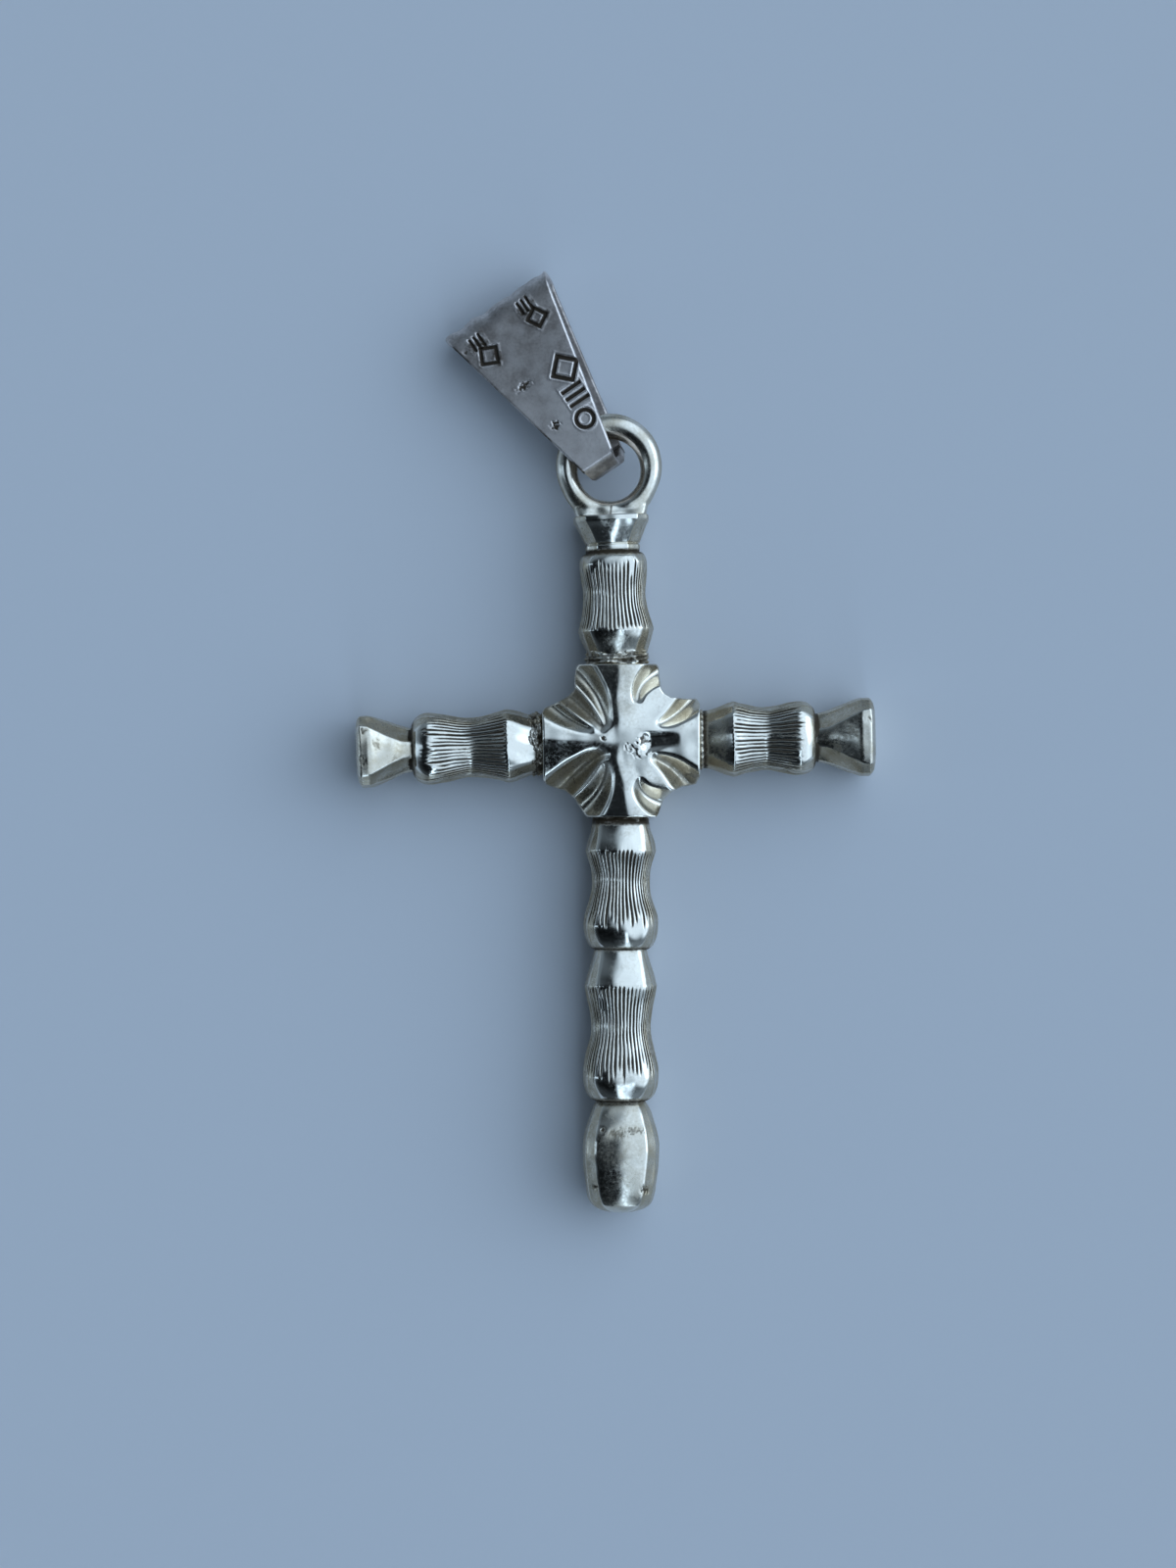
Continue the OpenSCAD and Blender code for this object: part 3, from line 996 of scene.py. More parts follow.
@dataclass
class Solder(Turned):
    """A lumpy seam of solder round the root of a rod.

    Attributes:
        start: Where it begins, from the centre of the boss.
        length: Its length.
        width: Its full width.
        rise: How far its middle stands over its edges.
        round_bevel: Bevel that makes it nearly round, as a share of the half width.
        lump: Height of its lumps.
        lumps: Lengths of the large lumps and of the small ones on them.
        small_lump: Height of the small lumps, for that of the large ones.
        folds: Height of the folds that run round it.
        fold_every: Distance between two folds.
        fold_sway: How far a fold sways, in folds.
        grains: Height of its grains.
        grain_length: Their length.
        grain_waves: How many waves make them.
        beads: How many even beads go round it, or 0.
        bead: Height of a bead.
        dirt: How dark it is.
        hollow_dirt: How much darker a hollow is, for its depth.
        spread: Radius on which its unevenness is read.
        count: Rows along it.
    """

    start: float = 3.8
    length: float = 0.8
    width: float = 2.9
    rise: float = 0.25
    round_bevel: float = 0.4
    lump: float = 0.05
    lumps: Range = (0.75, 0.3)
    small_lump: float = 0.35
    folds: float = 0.05
    fold_every: float = 0.3
    fold_sway: float = 0.35
    grains: float = 0.008
    grain_length: float = 0.16
    grain_waves: int = 40
    beads: int = 0
    bead: float = 0.04
    dirt: float = 0.7
    hollow_dirt: float = 2.2
    spread: float = 1.4
    edge: float = 0.5
    count: int = 28

    def rows(self) -> list[Point]:
        """A low round band.

        Returns:
            Distances along the line and half widths there.
        """
        share = np.linspace(0, 1, self.count)
        half = self.width / 2 - self.rise + self.rise * np.sin(math.pi * share) ** 0.5
        return list(zip((self.start + self.length * share).tolist(), half.tolist()))

    def bevel(self, along: Array) -> Array:
        """Nearly round."""
        return np.full_like(along, self.round_bevel)

    def carved(self, along: Array, turn: Array) -> tuple[Array, Array]:
        """Folds with lumps, or beads.

        Args:
            along: Distances along the line.
            turn: Shares of the way round.

        Returns:
            Depth of its hollows, and the grime in them.
        """
        ring = self.ring(along, turn, self.spread)
        large, small = self.lumps
        rough = self.uneven(2, large, ring) + self.small_lump * self.uneven(3, small, ring)
        fold = np.sin(FULL_TURN * (along / self.fold_every + self.fold_sway * self.uneven(4, 1.2, ring)))
        beads = np.cos(FULL_TURN * turn * self.beads) * self.bead if self.beads else 0 * along
        grains = self.grains * self.uneven(6, self.grain_length, ring, self.grain_waves)
        height = self.lump * rough + self.folds * fold + beads + grains
        return -height, self.dirt - self.hollow_dirt * height

    def seam_grime(self, along: Array) -> Array:
        """Its own dirt is enough."""
        return np.zeros_like(along)


@dataclass(frozen=True)
class Flute:
    """A scoop in the front of the boss that runs out over its edge.

    Attributes:
        start: Its inner end.
        bend: The point that bends its middle line.
        mouth: Its outer end.
        reach: Its half width at both ends.
        depth: Its depth at both ends.
        grime: How dark it is.
        rub: How bright its metal is.
        easing: How gently its sides run out, from 1 for a crisp rim.
        overrun: How far it is carried past its mouth, as a share of the way to it.
        softness: How softly its sides meet the front.
        places: How many places of its middle line are cut.
    """

    start: Point
    bend: Point
    mouth: Point
    reach: Range
    depth: Range
    grime: float = 0.2
    rub: float = 0.3
    easing: float = 1.0
    overrun: float = 0.25
    softness: float = 0.05
    places: int = 36

    def cut(self, x: Array, y: Array) -> Array:
        """Depth of the scoop at each point.

        Args:
            x: Places to the right of the middle of the boss.
            y: Places above it.

        Returns:
            The depths.
        """
        start, bend, mouth = np.array(self.start), np.array(self.bend), np.array(self.mouth)
        share = np.linspace(0, 1 + self.overrun, self.places)
        steps = share[:, None]
        path = start * (1 - steps) ** 2 + 2 * bend * steps * (1 - steps) + mouth * steps ** 2
        away = np.hypot(x[:, None] - path[:, 0], y[:, None] - path[:, 1])
        depth = self.depth[0] + (self.depth[1] - self.depth[0]) * share
        reach = self.reach[0] + (self.reach[1] - self.reach[0]) * share
        inside = 1 - (away / reach) ** 2
        held = (inside + np.sqrt(inside ** 2 + self.softness)) / 2
        return (depth * held ** self.easing).max(axis=1)


@dataclass
class Boss(Piece):
    """The centre block, with a fluted cross in relief on its front.

    Attributes:
        outline: Corners of the block, seen from the front, once round.
        height: Height of the middle of the block over the surface it lies on.
        thickness: Its thickness.
        flutes: The scoops beside its arms.
        slopes: Slopes of the arms on their steep side, on their gentle one and past their stems.
        stem: Width of a stem's gentle side.
        shoulder: Distance past the stem over which the slope beyond it sets in.
        crest: How softly the two sides of an arm meet.
        sway: How far the crests sway from side to side.
        upright: How far left the upright's crest lies, its slant low down, and how low the slant begins.
        upright_drop: How far the upright's crest lies below the highest point.
        crossing_low: How far below the middle the crossbar's crest lies.
        left_fall: Slope of the lower side of the left arm.
        left_fall_from: How far left of the middle that slope begins.
        sides: From right to left of the middle, where the left arm's forms take over.
        lobes: Drop of the corners between the arms: at the right, added at the left, and farthest out.
        lobe_reach: Distances from both arms between which a lobe falls to its farthest drop.
        blending: How softly arms and corners meet.
        lowered: How far the whole front lies below the thickness.
        bumps: Height of the hand-worked unevenness.
        nick: Left, right, lower and upper end of the worn nick in the right arm.
        nick_depth: Its depth at its left end.
        nick_slant: Slope of its lower side.
        nick_banks: How wide its lower bank is, outwards and inwards, and its upper and its left one each way.
        dents: Pits and dents of its front, and one flat dark patch at the lower left that is tarnish and
            painted shade.
        softness: How far wear has rounded the edges of the relief.
        rim: Radius of the block's upper rim.
        merging: How softly neighbouring scoops merge.
        flute_edge: Depths between which a scoop's own dirt and dullness set in.
        upper_rub: What the upper arm has lost of its shine.
        upper_from: Heights between which that loss sets in.
        upper_to: Places to the right between which it ends.
        outline_points: Points on each side of the outline.
        outline_ways: Directions in which the outline is read.
        outline_softening: How many times it is smoothed.
        side_grime: How dark the sides and the back are.
        side_rub: How brightly they are rubbed.
        fine_from: Shares of the radius from which the rows of the front and of the back are finer.
        steps: Steps round the block.
        seed: Start of the random draws.
    """

    name: str = "boss"
    outline: tuple[Point, ...] = (
        (4.0, -1.8), (4.0, 1.9), (3.85, 2.16), (3.2, 2.14), (2.55, 2.22), (2.2, 2.42), (2.04, 2.65),
        (1.95, 3.3), (1.93, 3.75), (1.82, 3.9), (-2.15, 3.9), (-2.28, 3.75), (-2.36, 3.3), (-2.35, 2.6),
        (-2.7, 2.25), (-3.2, 1.97), (-3.88, 1.66), (-4.0, 1.45), (-3.96, -1.95), (-3.8, -2.2),
        (-3.4, -2.38), (-2.85, -2.52), (-2.4, -2.88), (-2.2, -3.2), (-1.85, -3.75), (-1.7, -3.87),
        (1.8, -3.87), (1.93, -3.65), (2.15, -3.0), (2.6, -2.58), (3.1, -2.33), (3.8, -2.2),
    )
    height: float = 2.0
    thickness: float = 4.0
    flutes: tuple[Flute, ...] = (
        Flute((-0.78, 0.85), (-1.0, 2.3), (-2.0, 3.35), (0.32, 0.80), (0.17, 0.66), 0.15, 0.45, 1.7),
        Flute((-1.0, 0.7), (-1.8, 1.5), (-2.9, 2.45), (0.34, 0.76), (0.18, 0.75), 0.45, 0.2, 1.6),
        Flute((-1.65, 0.64), (-2.5, 0.86), (-3.6, 1.78), (0.32, 0.74), (0.14, 0.62), 0.2, 0.3, 1.7),
        Flute((0.84, 2.15), (0.9, 2.9), (1.75, 3.45), (0.34, 0.78), (0.24, 0.95), 0.16, 0.55, 2.0),
        Flute((2.05, 0.92), (2.65, 1.12), (3.45, 1.95), (0.32, 0.74), (0.22, 0.95), 0.16, 0.5, 2.0),
        Flute((1.8, -0.92), (2.5, -1.2), (3.3, -2.05), (0.36, 0.88), (0.24, 0.98), 0.36, 0.35, 1.9),
        Flute((0.94, -2.25), (1.02, -2.85), (2.1, -3.2), (0.38, 0.86), (0.24, 0.98), 0.12, 0.55, 1.9),
        Flute((-0.78, -1.35), (-0.85, -2.5), (-1.9, -3.45), (0.34, 0.9), (0.2, 0.9), 0.12, 0.5, 1.5),
        Flute((-0.95, -0.68), (-1.55, -0.8), (-3.1, -2.45), (0.34, 0.92), (0.18, 0.85), 0.38, 0.15, 1.6),
    )
    slopes: tuple[float, float, float] = (0.23, 0.04, 0.18)
    stem: float = 0.6
    shoulder: float = 0.4
    crest: float = 0.2
    sway: float = 0.035
    upright: tuple[float, float, float] = (0.13, 0.17, 1.0)
    upright_drop: float = 0.012
    crossing_low: float = 0.05
    left_fall: float = 0.04
    left_fall_from: float = 0.4
    sides: Range = (0.3, -0.3)
    lobes: tuple[float, float, float] = (0.12, 0.2, 0.52)
    lobe_reach: Range = (0.3, 3.2)
    blending: float = 0.012
    lowered: float = 0.03
    bumps: float = 0.005
    nick: tuple[float, float, float, float] = (1.2, 2.95, -0.5, 0.34)
    nick_depth: float = 0.22
    nick_slant: float = 0.22
    nick_banks: tuple[float, float, float, float] = (0.25, 0.15, 0.12, 0.3)
    dents: tuple[Dent, ...] = (
        Dent(1.1, -0.02, 0.3, 0.04, 0.7),
        Dent(-0.92, 0.11, 0.14, 0.05, 0.8),
        Dent(0.4, -0.35, 0.25, 0.012, 0.3),
        Dent(0.75, -0.62, 0.3, 0.012, 0.35),
        Dent(1.35, -0.45, 0.3, 0.012, 0.3),
        # Not a dent: a flat dark patch over the lower left, brown tarnish plus painted shade on the side
        # turned from the light.
        Dent(-1.4, -1.5, 1.7, 0.0, 0.45, ragged=0.0),
    )
    softness: float = 0.09
    rim: float = 0.12
    merging: float = 0.05
    flute_edge: Range = (0.0, 0.3)
    upper_rub: float = 0.3
    upper_from: Range = (0.9, 2.0)
    upper_to: Range = (0.95, 0.65)
    outline_points: int = 120
    outline_ways: int = 1440
    outline_softening: int = 3
    side_grime: float = 0.3
    side_rub: float = 0.15
    fine_from: Range = (0.955, 0.95)
    steps: int = 512
    seed: int = 3

    def blank(self) -> bmesh.types.BMesh:
        """A turned disc of radius 1 and half height 1, with its axis along X.

        Returns:
            The blank.
        """
        near, far = self.fine_from
        top = np.concatenate([np.linspace(0, near, 95, endpoint=False), np.linspace(near, 1, 9)])
        side = np.linspace(1, -1, 12)[1:-1]
        back = np.concatenate([np.linspace(1, far, 5), np.linspace(far, 0, 10)[1:]])
        profile = [(1.0, r) for r in top] + [(h, 1.0) for h in side] + [(-1.0, r) for r in back]
        return spun(profile, self.steps)

    def radius(self, angle: Array) -> Array:
        """Distance of the outline from the centre.

        Args:
            angle: Directions, in radians.

        Returns:
            The distances in those directions.
        """
        corners = np.array(self.outline)
        ahead = np.roll(corners, -1, axis=0)
        share = np.linspace(0, 1, self.outline_points, endpoint=False)[:, None, None]
        dense = (corners + (ahead - corners) * share).transpose(1, 0, 2).reshape(-1, 2)
        way = np.arctan2(dense[:, 1], dense[:, 0])
        order = np.argsort(way)
        even = np.linspace(-math.pi, math.pi, self.outline_ways, endpoint=False)
        reach = np.interp(even, way[order], np.hypot(dense[:, 0], dense[:, 1])[order], period=FULL_TURN)
        for _ in range(self.outline_softening):
            reach = (np.roll(reach, 1) + 2 * reach + np.roll(reach, -1)) / 4
        return np.interp(angle, even, reach, period=FULL_TURN)

    def arm(self, aside: Array, filed: Array | float = 1.0) -> Array:
        """Drop of an arm's front below its crest.

        Args:
            aside: Distance from the crest, negative on its steep side.
            filed: How far the steep side is filed down, from 0 to 1.

        Returns:
            The drop.
        """
        steep, gentle, beyond = self.slopes
        away = np.sqrt(aside ** 2 + self.crest ** 2) - self.crest
        past = np.maximum(aside - self.stem, 0)
        steep_side = away * (gentle + (steep - gentle) * filed)
        gentle_side = away * gentle + past ** 2 / (past + self.shoulder) * beyond
        return np.where(aside < 0, steep_side, gentle_side)

    def relief(self, x: Array, y: Array) -> Array:
        """Height of the front over the middle of the block, worn soft, without its dents.

        Args:
            x: Places to the right of the middle of the boss.
            y: Places above it.

        Returns:
            The heights.
        """
        around = [(0.0, 0.0)]
        for turn in np.linspace(0, FULL_TURN, 6, endpoint=False):
            around.append((self.softness * math.cos(turn), self.softness * math.sin(turn)))
        return np.mean([self.carving(x + right, y + ahead) for right, ahead in around], axis=0)

    def carving(self, x: Array, y: Array) -> Array:
        """Height of the front as it was cast, with crisp edges.

        Args:
            x: Places to the right of the middle of the boss.
            y: Places above it.

        Returns:
            The heights over the middle of the block.
        """
        flat = np.column_stack([x, y])
        on_left = eased(x, *self.sides)
        sway = self.sway * self.uneven(3, 1.9, flat)
        to_left, slant, slant_from = self.upright
        crest = x + to_left + slant * np.minimum(y + slant_from, 0) + sway
        upright = self.upright_drop + self.arm(crest)
        crossing = self.arm(y + self.crossing_low + sway, on_left)
        crossing += self.left_fall * np.maximum(-self.left_fall_from - x, 0) * eased(y, 0.1, -0.4)
        at_right, more_at_left, farthest = self.lobes
        sunk = at_right + more_at_left * on_left
        between = 2 * np.abs(x * y) / (np.abs(x) + np.abs(y) + 1e-6)
        lobes = sunk + (farthest - sunk) * eased(between, *self.lobe_reach)
        drops = np.column_stack([upright, crossing, lobes])
        ground = -self.blending * np.log(np.exp(-drops / self.blending).sum(axis=1))
        cuts = np.array([flute.cut(x, y) for flute in self.flutes])
        cut = self.merging * np.log(np.exp(cuts / self.merging).sum(axis=0) - len(cuts) + 1)
        uneven = self.bumps * self.uneven(2, 1.3, flat)
        return self.thickness / 2 - ground - cut - self.nicked(x, y) + uneven - self.lowered

    def nicked(self, x: Array, y: Array) -> Array:
        """Depth of the worn nick in the right arm.

        Args:
            x: Places to the right of the middle of the boss.
            y: Places above it.

        Returns:
            The depths.
        """
        left, right, low, high = self.nick
        low = low + self.nick_slant * (x - left)
        outwards, inwards, upper, beside = self.nick_banks
        band = eased(y, low - outwards, low + inwards) * eased(y, high + upper, high - upper)
        slope = self.nick_depth * np.clip((right - x) / (right - left), 0, 1)
        return slope * eased(x, left - beside, left + beside) * band

    def work(self, blank: Array) -> Surface:
        """Cuts the disc to the outline and carves its front.

        Args:
            blank: Points of the disc.

        Returns:
            The finished surface.
        """
        angle = np.arctan2(blank[:, 2], blank[:, 1])
        share = np.hypot(blank[:, 1], blank[:, 2])
        reach = self.radius(angle)
        x, y = reach * share * np.cos(angle), reach * share * np.sin(angle)
        grime = np.zeros_like(x)
        rub = 1 - self.upper_rub * eased(y, *self.upper_from) * eased(x, *self.upper_to)
        for flute in self.flutes:
            inside = eased(flute.cut(x, y), *self.flute_edge)
            grime = np.maximum(grime, flute.grime * inside)
            rub = np.minimum(rub, 1 - (1 - flute.rub) * inside)
        jitter = self.uneven(5, 0.25, np.column_stack([x, y]))
        front, grime = dented(self.dents, (x, y), jitter, 1.0, self.relief(x, y), grime)
        inside = np.clip(1 - reach * (1 - share) / self.rim, 0, 1)
        front -= self.rim * (1 - np.sqrt(1 - inside ** 2))
        base = -self.thickness / 2
        z = base + (blank[:, 0] + 1) / 2 * (front - base)
        on_front = blank[:, 0] > 0.99
        grime = np.where(on_front, grime, self.side_grime)
        rub = np.where(on_front, rub, self.side_rub)
        return Surface(np.column_stack([x, y, z + self.height]), grime, rub)


@dataclass
class Eye(Piece):
    """The ring with the solder that holds it to the collar.

    Attributes:
        line: The upper rod's line.
        at: Distance of the ring's centre from the centre of the boss.
        radius: Radius of the ring to the middle of its wire.
        wire: Thickness of the wire.
        thicker: How much thicker the wire is at the top of the ring, and thinner at its foot.
        web: How far the ring's foot is drawn out towards its rod.
        web_from: Cosine of the direction at which that begins.
        web_power: How suddenly it is drawn out.
        saddle: Distances of the solder's lower and upper end, and its half widths there.
        saddle_thickness: Thickness of the solder at its lower end.
        saddle_top: The same at its upper end, for the wire's thickness.
        saddle_edge: Radius of its edges.
        voxel: Size of the cells in which wire and solder are melted together.
        softening: How many times the melted skin is smoothed.
        lumps: Heights of the lumps in the foot and of the unevenness all over.
        foot: Between which places along the rod the foot sets in, from the ring's centre.
        foot_dirt: How dark the foot's lower edge is.
        foot_dirt_from: Between which places that sets in.
        under_dirt: How dark the underside is.
        under: Between which depths below the middle that sets in.
        joint_dirt: How dark the line is where the wire's ends meet.
        joint_slant: Slope of that line.
        joint_at: Place along the rod where it crosses the middle.
        joint_width: Distances from it at which it begins and is full.
        joint_from: Between which places along the rod it begins.
        base_rub: How brightly the lower half is rubbed.
        top_rub: How much brighter the top of the wire is.
        top: Between which heights over the middle that sets in.
        rub_swing: How far the shine varies round the ring.
        seed: Start of the random draws.
    """

    line: Line
    name: str = "ring"
    at: float = 13.925
    radius: float = 2.15
    wire: float = 1.1
    thicker: float = 0.1
    web: float = 1.1
    web_from: float = 0.35
    web_power: float = 1.5
    saddle: tuple[float, float, float, float] = (11.3, 12.2, 1.75, 1.95)
    saddle_thickness: float = 1.5
    saddle_top: float = 0.7
    saddle_edge: float = 0.3
    voxel: float = 0.055
    softening: int = 3
    lumps: Range = (0.012, 0.006)
    foot: Range = (-1.2, -2.2)
    foot_dirt: float = 0.75
    foot_dirt_from: Range = (-2.3, -2.65)
    under_dirt: float = 0.35
    under: Range = (0.2, 0.5)
    joint_dirt: float = 0.6
    joint_slant: float = 0.15
    joint_at: float = -2.2
    joint_width: Range = (0.12, 0.03)
    joint_from: Range = (-1.7, -2.0)
    base_rub: float = 0.2
    top_rub: float = 0.45
    top: Range = (0.1, 0.45)
    rub_swing: float = 0.15
    seed: int = 21

    def blank(self) -> bmesh.types.BMesh:
        """Wire and solder, melted together.

        Returns:
            The blank, round the ring's centre, with +X away from the boss.
        """
        bm = bmesh.new()
        self.bend_wire(bm)
        self.add_saddle(bm)
        bmesh.ops.recalc_face_normals(bm, faces=bm.faces)
        melted = self.melted(bm)
        for _ in range(self.softening):
            bmesh.ops.smooth_vert(
                melted, verts=melted.verts, factor=0.5, use_axis_x=True, use_axis_y=True, use_axis_z=True
            )
        return melted

    def bend_wire(self, bm: bmesh.types.BMesh) -> None:
        """Bends the wire round, a little thicker at the top, and draws out its foot.

        Args:
            bm: The empty shape that it is added to.
        """
        turned = Matrix.Translation((self.radius, 0, 0)) @ Matrix.Rotation(math.pi / 2, 4, "X")
        made = bmesh.ops.create_circle(bm, segments=32, radius=self.wire / 2, matrix=turned)
        bmesh.ops.spin(
            bm, geom=made["verts"] + edges_at(made["verts"]), cent=(0, 0, 0), axis=(0, 0, 1), angle=FULL_TURN,
            steps=144, use_merge=True,
        )
        for vert in bm.verts:
            around = math.atan2(vert.co.y, vert.co.x)
            out = Vector((math.cos(around), math.sin(around), 0))
            offset = math.hypot(vert.co.x, vert.co.y) - self.radius
            vert.co += out * offset * self.thicker / self.wire * 2 * math.cos(around)
            low = max(0, -math.cos(around) - self.web_from) ** self.web_power
            if offset > 0:
                vert.co += out * offset * self.web * low

    def add_saddle(self, bm: bmesh.types.BMesh) -> None:
        """Adds the block of solder under the ring, with round edges.

        Args:
            bm: The shape that it is added to.
        """
        low, high, low_half, high_half = self.saddle
        block = bmesh.ops.create_cube(bm, size=1)["verts"]
        for vert in block:
            upper = vert.co.x > 0
            half = high_half if upper else low_half
            thick = self.wire * self.saddle_top if upper else self.saddle_thickness
            place = (high if upper else low) - self.at
            vert.co = Vector((place, math.copysign(half, vert.co.y), math.copysign(thick / 2, vert.co.z)))
        bmesh.ops.bevel(
            bm, geom=edges_at(block), affect="EDGES", offset=self.saddle_edge, segments=4, profile=0.5,
            material=-1,
        )

    def melted(self, bm: bmesh.types.BMesh) -> bmesh.types.BMesh:
        """One skin round everything in a bmesh.

        Args:
            bm: Closed shapes that overlap. It is freed.

        Returns:
            The skin.
        """
        held = scene_object("melt", bm)
        mesh = held.data
        remesh = held.modifiers.new("melt", "REMESH")
        remesh.mode = "VOXEL"
        remesh.voxel_size = self.voxel
        skin = bmesh.new()
        skin.from_object(held, bpy.context.evaluated_depsgraph_get())
        bpy.data.objects.remove(held)
        bpy.data.meshes.remove(mesh)
        return skin

    def work(self, blank: Array) -> Surface:
        """Sets the ring on its rod and dirties its foot, with a dark line where the wire's ends meet.

        Args:
            blank: Points of the blank.

        Returns:
            The finished surface.
        """
        x, y, z = blank.T
        foot_lump, lump = self.lumps
        rough = self.uneven(0, 0.9, blank) * foot_lump * eased(x, *self.foot)
        rough += self.uneven(1, 2.2, blank) * lump
        around = np.arctan2(y, x)
        middle = np.column_stack([self.radius * np.cos(around), self.radius * np.sin(around), 0 * z])
        outward = blank - middle
        outward /= np.linalg.norm(outward, axis=1)[:, None] + 1e-9
        moved = blank + outward * rough[:, None]
        grime = self.foot_dirt * eased(x, *self.foot_dirt_from) + self.under_dirt * eased(-z, *self.under)
        from_joint = np.abs(y + self.joint_slant * (x - self.joint_at))
        joint = self.joint_dirt * eased(from_joint, *self.joint_width) * eased(x, *self.joint_from)
        grime = np.maximum(grime, joint)
        rub = self.base_rub + self.top_rub * eased(z, *self.top) + self.rub_swing * self.uneven(2, 1.6, blank)
        return Surface(self.line.placed(moved[:, 0] + self.at, moved[:, 1], moved[:, 2]), grime, rub)


class Shape(Enum):
    """Plain punches struck into the bail."""

    RING = "ring"
    BARS = "bars"
    LOZENGE = "lozenge"


@dataclass(frozen=True)
class Punch:
    """A punch mark.

    Attributes:
        shape: What it shows.
        along: Its distance from the bail's tip.
        across: Its distance to the left of the bail's middle line.
        size: Half its size.
        turn: How far it is turned.
        stroke: Half the width of its strokes.
        bank: Where a stroke's bank begins and where it is full depth, in half widths.
        bars: How many bars stand in half its size.
        bar_reach: Half length of the bars and half width of their row, as shares of the size.
    """

    shape: Shape
    along: float
    across: float
    size: float
    turn: float = 0.0
    stroke: float = 0.09
    bank: Range = (1.3, 0.5)
    bars: float = 1.5
    bar_reach: Range = (0.8, 0.95)

    def share(self, along: Array, across: Array, broader: float = 1.0) -> Array:
        """How deep each point lies in the strokes.

        Args:
            along: Distances from the bail's tip.
            across: Distances to the left of its middle line.
            broader: How many times broader than the strokes the mark is taken.

        Returns:
            Shares from 0 outside the strokes to 1 in them.
        """
        cos, sin = heading(self.turn)
        u = (along - self.along) * cos + (across - self.across) * sin
        v = (across - self.across) * cos - (along - self.along) * sin
        match self.shape:
            case Shape.RING:
                away = np.abs(np.hypot(u, v) - self.size)
            case Shape.LOZENGE:
                away = np.abs(np.abs(u) + np.abs(v) - self.size) / math.sqrt(2)
            case Shape.BARS:
                length, width = self.bar_reach
                bars = np.abs(np.mod(v / self.size * self.bars + 0.5, 1) - 0.5) * self.size / self.bars
                outside = np.maximum(np.abs(u) - self.size * length, np.abs(v) - self.size * width)
                away = np.maximum(bars, outside)
        outer, inner = self.bank
        return eased(away, self.stroke * outer * broader, self.stroke * inner * broader)


